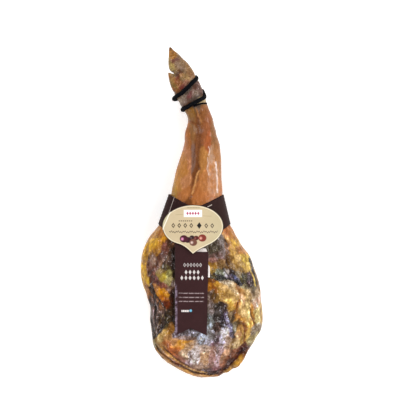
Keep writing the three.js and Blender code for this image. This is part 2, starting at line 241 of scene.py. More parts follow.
def edgesAt(shape, y):                           # the left edge, right edge, underside and top
    return [curveThrough(shape["stations"], column, y) for column in (1, 2, 3, 4)]


def limbSurface(shape, y, angle):
    # A slice at y is a rounded box between four edges: cosine and sine raised to 2 over the roundness.
    left, right, bottom, top = edgesAt(shape, y)
    power = 2 / shape["roundness"]
    across = np.sign(np.cos(angle)) * np.abs(np.cos(angle)) ** power
    up = np.sign(np.sin(angle)) * np.abs(np.sin(angle)) ** power
    x = (left + right) / 2 + across * (right - left) / 2
    z = (bottom + top) / 2 + up * (top - bottom) / 2
    return np.stack([x, y + 0 * angle, z], axis=-1)


def skinNormal(y, angle):
    # Outward from the ham: the slope along it crossed with the slope round it.
    stepAlong, stepRound = hamShape["slopeSteps"]
    along = limbSurface(hamShape, y + stepAlong, angle) - limbSurface(hamShape, y - stepAlong, angle)
    around = limbSurface(hamShape, y, angle + stepRound) - limbSurface(hamShape, y, angle - stepRound)
    outward = np.cross(along, around)
    return outward / np.linalg.norm(outward, axis=-1, keepdims=True)


def offSkin(y, angle, distance):                 # a place on the skin, moved straight out by a distance
    return limbSurface(hamShape, y, angle) + skinNormal(y, angle) * np.asarray(distance)[..., None]


def hamTop(x, y):                                # the height of the undetailed ham's upper side
    left, right, bottom, top = edgesAt(hamShape, y)
    across = np.clip(np.abs((2 * x - left - right) / (right - left)), 0, 1)
    up = (1 - across ** hamShape["roundness"]) ** (1 / hamShape["roundness"])
    return (bottom + top) / 2 + up * (top - bottom) / 2


def limbRings(shape):                            # evenly spaced slices, from the lowest station up
    ys = [station[0] for station in shape["stations"]]
    y = np.linspace(min(ys), max(ys), int((max(ys) - min(ys)) / shape["spacing"]) + 1)
    angle = np.linspace(0, 2 * np.pi, shape["sides"], endpoint=False)
    return limbSurface(shape, y[:, None], angle[None, :])[:, ::-1]


def clawRings(shape, level):
    # A claw at one level: it thickens from its tip as an ellipse's arc does, and leans to the foot's middle.
    tip, root = shape["stations"][0][0], shape["stations"][-1][0]
    stations = []
    for y, left, right in shape["stations"]:
        share = (tip - y) / (tip - root)
        half = mixed(shape["tipHeight"], shape["halfHeight"], np.sqrt(share * (2 - share)))
        middle = level + (footMiddle["level"] - level) * footMiddle["lean"] * (1 - share)
        stations.append((y, left, right, middle - half, middle + half))
    return limbRings(dict(shape, stations=stations))


# The cord's winding.

cordSetup = {
    "diameter": 8.2, "tailDiameter": 3.2, "tailFrom": 1.75, "tailTo": 1.95,
    "steps": 900, "sides": 24, "swell": 0.1,     # the braid stands this far proud of the cord's radius
    "strands": 8, "weave": 0.0875, "weaveMiddle": 0.4, "weaveLength": 7,
    "leastEnd": 0.02,           # of the end's circle, so that its last ring isn't a point
    "route": [                  # turns, then how far along the leg and how far off the skin the middle is
        (-0.3, 268, 2.9), (-0.15, 275.5, 2), (-0.05, 278.5, 0.5), (0, 277.5, -1), (0.06, 275.5, 0),
        (0.12, 271.5, 2), (0.18, 265.5, 2.9), (0.25, 255, 2.9), (0.32, 244.5, 2.9), (0.4, 239.5, 2.9),
        (0.46, 237, 4.5), (0.5, 236, 5.2), (0.56, 236, 4.5), (0.65, 238.5, 2.9), (0.8, 247, 2.5),
        (0.92, 251, 0.5), (0.96, 250.5, -0.8), (1, 245, -1.2), (1.05, 238, 0.4), (1.1, 234.5, 2.2),
        (1.17, 229.5, 2.9), (1.25, 223, 2.9), (1.33, 216.5, 2.9), (1.42, 213.5, 2), (1.5, 212, 0.8),
        (1.6, 213.5, 2), (1.75, 219, 2.5), (1.9, 224, 0.5), (2, 224.5, -1.4), (2.08, 224, 0.2),
        (2.14, 223.3, 0.4), (2.2, 221, 0.4), (2.26, 217.5, 0.4),
    ],
}


def cordPath(turn):                              # a winding on the skin, through the route's places
    y, off = [curveThrough(cordSetup["route"], column, turn) for column in (1, 2)]
    return offSkin(y, 2 * np.pi * turn, off)


cordTurn = np.linspace(cordSetup["route"][0][0], cordSetup["route"][-1][0], cordSetup["steps"])
cordLine = cordPath(cordTurn)
cordThin = smooth((cordTurn - cordSetup["tailFrom"]) / (cordSetup["tailTo"] - cordSetup["tailFrom"]))
cordRadius = mixed(cordSetup["diameter"], cordSetup["tailDiameter"], cordThin) / 2
print("cord length, m:", round(float(np.linalg.norm(np.diff(cordLine, axis=0), axis=1).sum()) * mm, 3))


# The ham's surface.

hamSkin = {
    "voxel": 1.85,              # the size of the mesh's squares
    "smoothing": 6,             # rounds of evening out where claws and leg meet
    "evening": (0.5, -0.47),    # how far towards the neighbours' mean in one round, and back in the next
    "stray": (2.4, 16),         # how far and how finely furrows and hollows stray from their places
    "lumps": {"depth": 0.9, "size": 34, "onSkin": 0.6, "onMeat": 0.4},       # the slow unevenness
    "dents": {"depth": 0.55, "size": 11, "onSkin": 0.3, "onMeat": 1.2},      # thumb-sized pits and swells
    "crumbs": {"depth": 0.4, "size": 3.6, "onSkin": 0.2, "onMeat": 1},       # the fibres and the crumbly fat
    "veins": {"depth": 0.9, "size": 18, "along": 0.6, "narrow": 3},          # the wandering creases
    "furrowBreaks": 0.35,       # how much the dents break up the furrows and ridges
    "front": (-0.05, 0.4),      # the upper side starts at this upward slope, and is full this much later
    "meat": (40, 50),           # the bare meat starts at this place along the ham, and is full this far on
    "foot": (225, 30, 0.45),    # the foot's start, how soon it is full, and how much smoother it is
    "band": (5, 30, 0.6),       # the band presses the back in: about where, how widely, how deep
    "underCards": (0.1, 0.3, 0.4),  # from what slope on, how soon, and how far meat may still swell there
    "fibresFrom": (-8, 330),    # the fibres of the meat fan out from here
    "fibreScales": (300, 0.36, 0.7),    # across a fibre, along it (the lower, the longer) and in depth
}
cordBedShape = {"y": (190, 295), "gap": 0.25, "dip": 0.8, "dipWidth": 3.0, "batches": 12}
cardCover = {                   # where the cards lie over the meat, and how softly that ends
    "stripX": (-60, 19), "stripY": (-252, -55), "softX": 5, "softY": 6,
    "bandTop": 46, "bandFoot": -30, "bandFall": 36, "bandMiddle": -15, "bandWidth": 42,
}

# Furrows (negative) and ridges (positive) on the upper side: height, width, then the line they follow.
furrows = [
    (-1.7, 6.5, [(-6, 200), (-4, 165), (-4, 120), (-9, 90), (-14, 72), (-20, 38)]),  # along the shank
    (1.5, 1.8, [(-4, 88), (-9, 74), (-15, 52), (-20, 37)]),  # the sinew beside it
    (1.3, 2.4, [(-12, 215), (-6, 198), (-1, 185)]),
    (-1.5, 3.0, [(-26, 188), (-18, 184), (-11, 180)]),
    (1.4, 3.0, [(31, 103), (32, 70), (33, 38)]),
    (2.2, 3.2, [(44, -38), (52, -56), (60, -76), (67, -94), (72, -105)]),  # edge of the neck's skin
    (-2.6, 3.0, [(34, -70), (44, -84), (52, -104)]),
    (-3.2, 1.8, [(75, -180), (70, -196), (63, -208), (60, -222)]),  # folds in the fat
    (-2.6, 2.0, [(74, -216), (84, -226), (88, -236), (88, -262), (86, -280)]),
    (-3.0, 1.7, [(99, -196), (101, -210), (106, -222), (111, -232)]),
    (-1.8, 2.0, [(78, -222), (81, -246), (78, -268)]),
    (-2.0, 2.2, [(66, -250), (62, -272), (56, -292)]),
    (2.4, 4.5, [(95, -176), (94, -204), (98, -232)]),
    (2.4, 5.0, [(80, -178), (76, -206), (80, -216)]),
    (2.0, 5.0, [(112, -172), (114, -200), (116, -222)]),
    (2.0, 4.0, [(76, -246), (72, -268), (66, -286)]),
    (-2.8, 3.2, [(37, -126), (48, -133), (60, -138), (71, -143)]),  # the dark cut
    (-2.2, 3.0, [(50, -112), (55, -124), (62, -136)]),
    (-3.0, 3.2, [(-56, -70), (-57, -150), (-57, -215)]),  # in the strip's shade
    (-2.6, 3.0, [(-99, -152), (-98, -180), (-90, -205), (-80, -225), (-84, -243)]),  # the dark patch's edges
    (-2.2, 2.6, [(-104, -152), (-105, -200), (-100, -240), (-93, -262)]),
    (1.8, 4.5, [(-88, -156), (-80, -178), (-70, -196)]),
    (-3.2, 2.0, [(-95, -270), (-87, -283), (-73, -295), (-55, -308), (-38, -317.5), (-21, -326), (-4, -330),
                 (16, -332), (36, -329)]),  # rind's inner edge
    (1.6, 1.8, [(-84, -275.5), (-68, -290.5), (-51, -303.5), (-36, -314), (-21, -321.5), (-8, -326),
                (10, -328), (29, -327)]),
    (-2.0, 1.6, [(-82, -272.5), (-69, -284.5), (-53, -298), (-38, -308), (-25, -317), (-8, -322.5)]),
    (-6.0, 6.0, [(88, -276), (76, -290), (62, -306), (46, -323)]),  # the recess at the corner
    (3.0, 4.5, [(92, -288), (82, -304), (66, -320), (52, -328)]),
    (-1.4, 3.0, [(-112, -70), (-108, -100), (-104, -130), (-104, -150)]),  # inside the left rim
    (-1.6, 4.0, [(-90, -84), (-80, -100), (-84, -124)]),
    (1.4, 4.0, [(-76, -78), (-68, -96), (-72, -118)]),
    (-1.2, 2.0, [(-46, 312), (-38, 292), (-38, 276), (-26, 258)]),  # on the claw
    (-1.6, 2.2, [(-58, 290), (-50, 284), (-42, 272), (-34, 262)]),  # between claw and dewclaw
]

# Hollows (positive) and swells (negative): depth, place, half-length, half-width, turn.
hollows = [
    (2.2, (-45, 289), 7, 4, 60),
    (1.6, (-96, -114), 16, 6, 80),
    (1.5, (46, -190), 10, 7, 0),
    (1.6, (31, -217), 34, 9, 90),
    (-1.6, (83, -93), 20, 14, -40),
    (-2.0, (-92, -66), 26, 14, 40),
    (-1.6, (-43, -272), 20, 12, 30),
    (-1.4, (-76, -132), 16, 11, 10),
    (1.6, (-8, 178), 10, 6, 90),
]


def insideCards(x, y):                           # 1 where a card lies over the meat, softly ending round it
    (left, right), (low, high) = cardCover["stripX"], cardCover["stripY"]
    softX, softY = cardCover["softX"], cardCover["softY"]
    strip = smooth((x - left) / softX) * smooth((right - x) / softX)
    strip *= smooth((y - low) / softY) * smooth((high - y) / softY)
    fall = cardCover["bandFall"] * bell((x - cardCover["bandMiddle"]) / cardCover["bandWidth"])
    band = smooth((cardCover["bandTop"] - y) / softY) * smooth((y - cardCover["bandFoot"] + fall) / softY)
    return np.maximum(strip, band)


def remeshed(mesh, voxel):                       # one skin over the joined solids, in even squares
    temporary = objectFrom("rough", mesh)
    modifier = temporary.modifiers.new("remesh", "REMESH")
    modifier.mode, modifier.voxel_size = "VOXEL", voxel * mm
    graph = bpy.context.evaluated_depsgraph_get()
    result = bpy.data.meshes.new_from_object(temporary.evaluated_get(graph))
    bpy.data.objects.remove(temporary)
    return result


def readPoints(mesh):
    points = np.empty(len(mesh.vertices) * 3)
    mesh.vertices.foreach_get("co", points)
    return points.reshape(-1, 3) / mm


def writePoints(mesh, points):
    mesh.vertices.foreach_set("co", (points * mm).ravel())
    mesh.update()


def readNormals(mesh):
    normals = np.empty(len(mesh.vertices) * 3)
    mesh.vertex_normals.foreach_get("vector", normals)
    return normals.reshape(-1, 3)


def evenedOut(mesh, rounds):
    # Each point moves half-way to the mean of its neighbours, then nearly as far back, so it doesn't shrink.
    edges = np.empty(len(mesh.edges) * 2, dtype=np.int64)
    mesh.edges.foreach_get("vertices", edges)
    one, other = edges.reshape(-1, 2).T
    points = readPoints(mesh)
    count = np.bincount(edges, minlength=len(points))[:, None]
    for k in range(rounds):
        total = np.stack([np.bincount(one, points[other, axis], len(points))
                          + np.bincount(other, points[one, axis], len(points)) for axis in range(3)], axis=1)
        points = points + (total / count - points) * hamSkin["evening"][k % 2]
    writePoints(mesh, points)


def cordBed(points):                             # how deep the skin is pressed in under the cord
    low, high = cordBedShape["y"]
    near = (points[:, 1] > low) & (points[:, 1] < high)
    gaps = np.full(int(near.sum()), np.inf)
    for line, radius in zip(np.array_split(cordLine[::2], cordBedShape["batches"]),
                            np.array_split(cordRadius[::2], cordBedShape["batches"])):
        apart = np.linalg.norm(points[near][:, None, :] - line[None], axis=2) - radius
        gaps = np.minimum(gaps, apart.min(1))
    depth = np.zeros(len(points))
    dip = cordBedShape["dip"] * bell(gaps / cordBedShape["dipWidth"])
    depth[near] = np.clip(cordBedShape["gap"] - gaps, 0, None) + dip
    return depth


def alongFibres(points):
    # Polar places about the shank, drawn out along the radius: noise read there runs in fibres from it.
    fromX, fromY = hamSkin["fibresFrom"]
    across, along, depth = hamSkin["fibreScales"]
    x, y = points[:, 0] - fromX, points[:, 1] - fromY
    return np.stack([np.arctan2(x, -y) * across, np.hypot(x, y) * along, points[:, 2] * depth], axis=1)


def onSkinAndMeat(kind, noise, meat):            # a noise's depth, and its share on the skin and on bare meat
    setup = hamSkin[kind]
    return setup["depth"] * noise * (setup["onSkin"] + setup["onMeat"] * meat)


def furrowed(strayed, dents):                    # the sum of every furrow's and ridge's bell across its line
    total = np.zeros(len(strayed))
    for height, width, route in furrows:
        total += height * bell(strokeDistance(strayed, route) / width)
    return total * (1 + hamSkin["furrowBreaks"] * dents)


def hollowed(strayed):                           # the sum of every hollow's bell over its ellipse
    total = np.zeros(len(strayed))
    for depth, place, halfLength, halfWidth, turn in hollows:
        along, across = turned(strayed, place, turn)
        total += depth * bell(np.hypot(along / halfLength, across / halfWidth))
    return total


def detailed(mesh):
    # Moves each point along its normal: noise, furrows, hollows, what the cards hold down, the cord's bed.
    points, normals = readPoints(mesh), readNormals(mesh)
    x, y, slope = points[:, 0], points[:, 1], normals[:, 2]
    frontFrom, frontFade = hamSkin["front"]
    front = smooth((slope - frontFrom) / frontFade)
    meatFrom, meatFade = hamSkin["meat"]
    meat = smooth((meatFrom - y) / meatFade) * front
    far, size = hamSkin["stray"]
    strayed = points[:, :2] + np.stack([fractalNoise(points, size, 3, seed) for seed in (5, 6)], axis=1) * far
    dents = fractalNoise(points, hamSkin["dents"]["size"], 3, 2)
    crumbs = fractalNoise(alongFibres(points), hamSkin["crumbs"]["size"], 2, 3)
    veinShape = hamSkin["veins"]
    veins = np.abs(fractalNoise(points * [1, veinShape["along"], 1], veinShape["size"], 3, 4))
    move = onSkinAndMeat("dents", dents, meat) + onSkinAndMeat("crumbs", crumbs, meat)
    move -= veinShape["depth"] * smooth(1 - veins * veinShape["narrow"]) * meat
    relief = move + furrowed(strayed, dents) * front
    lumps = fractalNoise(points, hamSkin["lumps"]["size"], 2, 1)
    move = relief + onSkinAndMeat("lumps", lumps, meat) - hollowed(strayed) * front
    coverFrom, coverFade, cardLimit = hamSkin["underCards"]
    covered = insideCards(x, y) * smooth((slope - coverFrom) / coverFade)
    move = np.where(move > 0, mixed(move, np.minimum(move, cardLimit), covered), move)
    bandAt, bandWidth, bandDepth = hamSkin["band"]
    move -= bandDepth * bell((y - bandAt) / bandWidth) * (1 - front)
    footFrom, footFade, footSmoother = hamSkin["foot"]
    move *= 1 - footSmoother * smooth((y - footFrom) / footFade)
    points = points + normals * move[:, None]
    points = points - normals * cordBed(points)[:, None]
    points[:, 2] = np.maximum(points[:, 2], 0)
    writePoints(mesh, points)
    return relief


limbs = [limbRings(hamShape)]
limbs += [clawRings(shape, level) for shape in (clawShape, dewclawShape) for level in shape["levels"]]
hamMesh = remeshed(meshFrom("rough", *joinedSolids(limbs)), hamSkin["voxel"])
evenedOut(hamMesh, hamSkin["smoothing"])
hamRelief = detailed(hamMesh)
hamMesh.shade_smooth()
print("ham:", len(hamMesh.polygons), "squares")


# The ham's colours.

tones = {
    "betweenPatches": 1e-14,    # the weight of the plain skin under the patches
    "patchFall": 1.6,           # how soon a patch's weight falls off
    "crispness": (1.15, 2.1),   # how sharply one patch gives way to the next, on the shank and on the meat
    "wander": (4.0, 13, 2.2, 4),    # how far and how finely the borders wander, slow then fine
    "streakReach": 1.5, "streakWander": 0.35, "streakStrength": 0.88,   # the reach is in half-widths
    "strength": 1.1,            # above 1 it deepens and saturates the colours
    "light": 0.9,               # how much of each colour's light the surface gives back
    "limits": (0.003, 0.95),    # the darkest and the lightest that a colour may be before that
    "grain": (0.34, 0.62, 0.3),     # light and dark grain on the skin, and what bare meat and the foot add
    "fibreGrain": (0.9, 3.4), "roundGrain": (0.35, 4.5),    # strength and size of the two kinds of grain
    "grainTint": (0.85, 1, 1.25),   # what the grain does to red, green and blue, and below, what the painted shade in a hollow does
    "hollowTint": (0.15, 0.185, 0.25),
    "roughOnGrey": 1.6, "smoothOnGold": 1.0,    # how much rougher grey mould is than golden fat
    "roughLimits": (0.45, 1.4),
    "roughOnDark": (0.5, 0.11, 0.06),   # what dark meat adds, below what light, and how soon
    "flecks": (0.6, 0.1),       # painted highlights as flecks: how far they lighten their own colour, and how much white they add
    "fleckTone": (228, 214, 204),
    "fleckFrom": (0.12, 0.42, 0.3),     # what relief adds to the grain, where flecks start, and how soon
    "fleckShare": (0.4, 0.6),   # on the shank, and what the meat adds
    "front": (-0.25, 0.4),      # the meat's colours start at this upward slope, and are full this much later
    "body": (-20, 40),          # the shank's colours end at this place along the ham, this softly
    "foot": (215, 30, 0.8),     # the foot's start, how soon it is full, and how rough it is
    "eye": 2652, "level": 48,   # the patches' places are those at this level, seen from this far above it
    # the third rind colour is painted shade for the steep sides
    "rind": (172, 118, 48), "rindDark": (114, 74, 30), "rindEdge": (120, 82, 28),
    "rindSpots": (42, 1.6, 0.1, 0.6),   # their size, sharpness and share, and how far they turn dark
    # how much of the painted shade on the steep sides the rind and the meat take
    "rindGrain": 0.5, "edgeOnRind": 0.6, "edgeOnMeat": 0.3,
    "edge": (-0.5, 0.4, 0.45, 0.3),     # the painted shade on the steep sides: its first slope and its last, each with its softness
    "shank": (170, 113, 62), "fat": (176, 132, 72),
}

# Patches seen from above: place, half-length, half-width, turn, colour. Small ones show over large ones.
patches = [
    # the left rim and shoulder
    ((-84, -40), 12, 8, 60, (190, 124, 40)),
    ((-98, -45), 15, 5, 50, (190, 142, 80)),
    ((-82, -57), 15, 8, 40, (202, 140, 34)),
    ((-97, -62), 20, 8, 42, (206, 158, 46)),
    ((-109, -76), 20, 8, 60, (192, 142, 26)),
    ((-118, -104), 30, 6, 92, (198, 148, 24)),
    ((-116, -132), 22, 6, 102, (200, 156, 38)),
    ((-110, -158), 16, 4, 112, (150, 98, 44)),
    ((-92, -76), 16, 8, 40, (176, 124, 40)),
    ((-100, -95), 12, 4, 82, (144, 112, 92)),
    ((-109, -114), 15, 5, 86, (136, 92, 76)),
    ((-102, -126), 16, 5, 100, (98, 54, 36)),
    ((-90, -104), 14, 7, 70, (122, 78, 60)),
    ((-80, -92), 18, 7, 70, (108, 68, 56)),
    ((-83, -102), 8, 4, 60, (158, 122, 100)),
    ((-74, -70), 12, 7, 50, (128, 76, 60)),
    ((-64, -64), 10, 7, 20, (98, 62, 32)),
    ((-68, -92), 18, 6, 75, (86, 60, 42)),
    ((-62, -106), 26, 5, 88, (74, 54, 46)),
    ((-85, -120), 8, 5, 30, (166, 140, 92)),
    ((-80, -130), 12, 8, 20, (172, 148, 54)),
    ((-67, -126), 9, 6, 60, (140, 130, 76)),
    ((-67, -139), 11, 6, 30, (184, 170, 112)),
    ((-72, -112), 9, 5, 0, (92, 76, 40)),
    ((-92, -142), 12, 6, 130, (112, 64, 54)),
    ((-79, -151), 12, 6, -20, (134, 78, 60)),
    ((-66, -153), 9, 6, 20, (156, 122, 104)),
    # painted highlight: a lilac glint
    ((-60, -144), 7, 3.5, 80, (166, 148, 146)),
    ((-92, -154), 9, 5, -40, (180, 122, 54)),
    ((-88, -163), 10, 6, -50, (208, 140, 6)),
    ((-77, -162), 10, 5, -40, (204, 142, 36)),
    ((-80, -173), 11, 6, -40, (182, 108, 2)),
    ((-72, -186), 11, 6, -60, (116, 50, 8)),
    ((-83, -190), 10, 5, -60, (128, 80, 36)),
    ((-61, -172), 22, 4.5, 88, (72, 34, 14)),
    ((-64, -205), 24, 6, 92, (66, 46, 20)),
    ((-70, -224), 14, 6, 80, (76, 62, 34)),
    # these two: painted shadow of the strip along its left edge
    ((-57, -100), 45, 3, 90, (66, 44, 36)),
    ((-57, -190), 50, 3, 90, (60, 36, 18)),
    # the dark left side
    ((-100, -160), 16, 5, 110, (72, 50, 36)),
    ((-98, -188), 20, 6, 92, (90, 58, 46)),
    ((-89, -198), 18, 6, 110, (84, 56, 38)),
    ((-97, -220), 18, 6, 92, (94, 66, 54)),
    ((-88, -226), 16, 4, 70, (106, 80, 60)),
    ((-80, -216), 16, 6, 85, (82, 58, 48)),
    ((-90, -241), 14, 7, 60, (80, 54, 38)),
    ((-97, -250), 10, 4, 80, (86, 62, 34)),
    ((-97, -266), 9, 4, 90, (156, 142, 104)),
    ((-92, -284), 10, 5, -60, (166, 122, 58)),
    ((-65, -240), 12, 6, 70, (162, 112, 36)),
    # the lower left
    ((-80, -249), 13, 6, 35, (200, 160, 88)),
    ((-87, -259), 12, 8, 50, (188, 158, 102)),
    ((-89, -273), 13, 5, 110, (160, 126, 74)),
    ((-70, -257), 10, 6, 10, (196, 146, 90)),
    ((-69, -268), 9, 6, 0, (172, 104, 54)),
    ((-80, -276), 13, 8, -30, (184, 136, 84)),
    ((-56, -264), 10, 6, 20, (204, 150, 98)),
    ((-42, -269), 16, 7, 15, (218, 158, 62)),
    ((-52, -279), 12, 7, 60, (194, 114, 48)),
    ((-62, -286), 13, 7, -40, (174, 98, 48)),
    ((-74, -292), 15, 5, -45, (168, 118, 64)),
    ((-50, -299), 13, 7, -35, (150, 88, 54)),
    ((-37, -288), 10, 8, 60, (176, 144, 112)),
    ((-26, -274), 10, 7, 0, (200, 160, 118)),
    # painted highlight: the white glare on the lower left
    ((-17, -293), 21, 9, 84, (200, 184, 180)),
    ((-28, -310), 12, 6, -30, (190, 162, 166)),
    ((-41, -304), 9, 5, -35, (154, 106, 88)),
    # under the strip's foot
    ((-36, -247), 16, 6, 5, (122, 112, 118)),
    # painted shadow under the strip's notch
    ((-21, -237), 6, 3.5, 0, (44, 34, 36)),
    ((-53, -251), 8, 6, 30, (144, 128, 132)),
    ((-18, -247), 14, 6, -10, (116, 108, 112)),
    ((-34, -258), 14, 4, 0, (144, 116, 106)),
    ((4, -256), 12, 9, 70, (154, 154, 160)),
    # the right shoulder
    ((50, -36), 10, 8, -50, (176, 110, 56)),
    ((60, -45), 14, 6, -60, (190, 132, 62)),
    ((54, -58), 20, 4.5, -58, (204, 154, 94)),
    ((68, -64), 14, 7, -55, (198, 156, 66)),
    ((80, -78), 13, 6, -40, (188, 130, 66)),
    ((66, -82), 13, 7, -50, (190, 148, 76)),
    ((88, -94), 17, 8, -60, (206, 174, 76)),
    ((75, -95), 10, 6, -50, (226, 188, 120)),
    ((69, -104), 9, 6, -40, (184, 144, 76)),
    ((88, -110), 12, 7, -50, (198, 162, 84)),
    ((80, -118), 10, 6, -20, (158, 124, 62)),
    ((100, -104), 8, 2.5, -70, (56, 44, 26)),
    ((108, -114), 14, 2.5, -68, (160, 128, 56)),
    ((113, -134), 16, 2.2, -72, (132, 98, 40)),
    ((40, -58), 12, 8, -70, (124, 110, 102)),
    ((44, -80), 15, 8, -70, (138, 122, 118)),
    ((28, -74), 11, 8, 0, (108, 96, 78)),
    ((40, -91), 9, 5, 0, (122, 94, 88)),
    ((27, -86), 8, 5, 20, (112, 84, 76)),
    ((25, -95), 7, 4, 0, (168, 124, 114)),
    ((54, -73), 12, 4, -70, (134, 88, 46)),
    ((57, -93), 12, 6, -60, (130, 94, 44)),
    ((46, -100), 12, 6, -20, (148, 112, 70)),
    ((22, -109), 9, 6, 60, (176, 132, 54)),
    ((22, -121), 8, 6, 90, (138, 108, 46)),
    ((25, -129), 9, 4, 0, (84, 70, 36)),
    ((52, -110), 14, 5, -10, (140, 108, 64)),
    # the dark cut across the right
    ((36, -123), 11, 5, -10, (120, 120, 98)),
    ((38, -133), 12, 4, -15, (76, 74, 66)),
    # painted highlight: a white glint in the dark cut
    ((50, -122), 7, 3, 80, (206, 196, 198)),
    ((55, -131), 9, 3.5, -50, (164, 150, 176)),
    ((61, -120), 9, 5, -30, (84, 70, 70)),
    ((67, -132), 12, 5, -40, (92, 92, 122)),
    ((75, -142), 8, 4, -30, (66, 62, 68)),
    ((74, -126), 8, 5, -40, (150, 134, 106)),
    ((85, -133), 12, 5, 80, (84, 74, 34)),
    ((99, -131), 14, 6, 84, (72, 50, 52)),
    ((98, -147), 9, 5, 60, (74, 54, 48)),
    ((107, -156), 14, 4, 84, (104, 90, 68)),
    ((88, -152), 10, 5, 0, (158, 144, 108)),
    # the pale meat below it
    # painted highlight on the pale fat
    ((54, -145), 12, 7, -20, (240, 226, 206)),
    ((64, -154), 12, 8, -50, (224, 196, 152)),
    ((44, -152), 9, 6, -30, (224, 184, 120)),
    ((34, -146), 9, 5, -20, (204, 152, 58)),
    ((20, -140), 9, 5, 0, (128, 78, 22)),
    ((15, -151), 9, 5, 80, (192, 128, 34)),
    ((27, -154), 12, 4, -60, (148, 86, 24)),
    ((38, -161), 11, 6, -30, (192, 148, 74)),
    ((25, -170), 12, 3.5, 88, (104, 74, 36)),
    ((33, -173), 12, 4, 80, (142, 108, 54)),
    ((16, -173), 16, 4.5, 90, (140, 118, 106)),
    ((44, -175), 11, 7, -50, (188, 148, 84)),
    ((60, -170), 14, 8, -50, (206, 168, 104)),
    ((75, -156), 10, 4, -60, (168, 114, 46)),
    # the folded fat
    ((84, -164), 12, 5, -60, (190, 142, 84)),
    ((92, -170), 14, 7, -70, (206, 174, 118)),
    ((83, -176), 13, 5, -75, (228, 184, 140)),
    ((56, -188), 13, 7, 80, (206, 162, 74)),
    ((71, -194), 16, 3, 66, (184, 128, 58)),
    ((79, -192), 14, 5, 75, (216, 180, 118)),
    ((92, -190), 15, 6, 85, (212, 182, 118)),
    ((84, -206), 10, 7, 0, (226, 192, 132)),
    ((106, -172), 14, 6, 85, (176, 152, 122)),
    ((111, -186), 11, 5, 85, (212, 174, 148)),
    ((104, -206), 20, 3, 98, (192, 136, 64)),
    ((114, -210), 15, 6, 92, (226, 204, 140)),
    ((121, -206), 14, 3, 92, (190, 154, 80)),
    ((72, -211), 10, 5, -30, (188, 132, 66)),
    ((82, -219), 11, 5, 0, (204, 152, 70)),
    ((96, -216), 13, 6, 90, (228, 192, 124)),
    ((98, -231), 12, 5, 80, (220, 176, 86)),
    ((89, -234), 16, 3, 98, (166, 106, 42)),
    ((78, -236), 12, 5, 80, (188, 142, 76)),
    ((75, -248), 12, 5, 70, (212, 164, 116)),
    ((84, -254), 13, 5, 80, (182, 144, 74)),
    ((97, -248), 12, 6, 70, (202, 162, 84)),
    ((110, -240), 11, 5, 55, (148, 130, 108)),
    ((103, -258), 13, 5, 55, (170, 152, 102)),
    ((66, -262), 13, 5, 60, (160, 128, 86)),
    ((70, -268), 9, 5, 50, (202, 172, 124)),
    # the dark and mouldy strip beside the card
    ((34, -192), 12, 6, 0, (74, 62, 50)),
    ((47, -194), 9, 7, -60, (78, 56, 54)),
    ((20, -197), 10, 6, 90, (128, 112, 106)),
    ((34, -208), 14, 7, 80, (84, 74, 70)),
    ((17, -228), 28, 5, 90, (146, 150, 154)),
    ((31, -243), 16, 5.5, 92, (92, 70, 62)),
    ((43, -221), 14, 5, 100, (62, 52, 60)),
    # these three: painted highlight, blue-violet sheen on the dark mould
    ((51, -210), 10, 3.5, -70, (120, 104, 122)),
    ((56, -229), 15, 3.5, -68, (134, 122, 150)),
    ((61, -245), 10, 3.5, -66, (132, 122, 146)),
    ((60, -212), 10, 5, 80, (128, 106, 76)),
    ((68, -232), 14, 4, 66, (148, 138, 116)),
    ((74, -226), 11, 3, 70, (110, 84, 44)),
    ((17, -248), 10, 6, 80, (150, 146, 152)),
    ((30, -258), 11, 6, 60, (94, 72, 78)),
    ((13, -265), 9, 6, 0, (170, 164, 176)),
    ((25, -269), 11, 5, 0, (128, 92, 98)),
    # the foot of the ham
    # these two: painted highlight, silver-blue glare
    ((46, -246), 9, 5.5, 75, (232, 228, 236)),
    ((41, -264), 16, 5, 80, (188, 176, 188)),
    ((52, -264), 16, 5, 76, (192, 164, 146)),
    ((37, -286), 16, 6, 78, (184, 154, 154)),
    ((9, -279), 10, 8, 0, (194, 164, 144)),
    ((22, -283), 13, 6, 84, (172, 128, 112)),
    ((8, -300), 18, 7, 88, (194, 152, 112)),
    ((20, -304), 14, 5, 84, (164, 124, 114)),
    ((31, -304), 14, 5, 78, (190, 156, 160)),
    ((47, -292), 18, 6, 66, (178, 134, 100)),
    ((44, -310), 13, 6, 60, (150, 94, 62)),
    ((-4, -316), 16, 6, 0, (184, 152, 132)),
    ((30, -321), 15, 4, 10, (128, 82, 80)),
    ((12, -325), 14, 4, 0, (112, 88, 86)),
    ((83, -280), 14, 7, 50, (108, 46, 24)),
    ((66, -291), 15, 6, 50, (128, 72, 36)),
    ((54, -308), 17, 5, 50, (92, 44, 18)),
    ((90, -290), 10, 5, 50, (120, 72, 28)),
    ((78, -302), 17, 6, 50, (188, 138, 46)),
    ((62, -319), 15, 5, 38, (174, 130, 62)),
    # the rind's rim along the foot
    ((-90, -294), 20, 4, -45, (150, 112, 56)),
    ((-66, -312), 20, 4, -34, (178, 132, 66)),
    ((-34, -328), 24, 4, -22, (194, 142, 74)),
    ((6, -337), 24, 4, -4, (188, 138, 78)),
    # the shank
    ((-24, 205), 9, 7, 90, (142, 98, 40)),
    ((5, 200), 16, 6, 80, (146, 92, 46)),
    ((-18, 164), 22, 6, 90, (142, 98, 54)),
    ((-27, 150), 20, 5, 90, (166, 102, 42)),
    ((-18, 118), 22, 3.5, 88, (136, 102, 86)),
    ((-28, 118), 20, 4.5, 92, (176, 118, 78)),
    ((-14, 74), 30, 4.5, 75, (130, 78, 36)),
    ((-9, 152), 40, 3.5, 88, (134, 82, 42)),
    ((10, 180), 20, 6, 85, (152, 92, 52)),
    ((14, 147), 13, 4, 85, (170, 96, 50)),
    ((26, 158), 24, 5, 95, (142, 96, 52)),
    # painted highlight: a pale mark on the shank
    ((20, 121), 9, 2, 90, (178, 134, 98)),
    ((3, 108), 13, 6, 90, (182, 126, 66)),
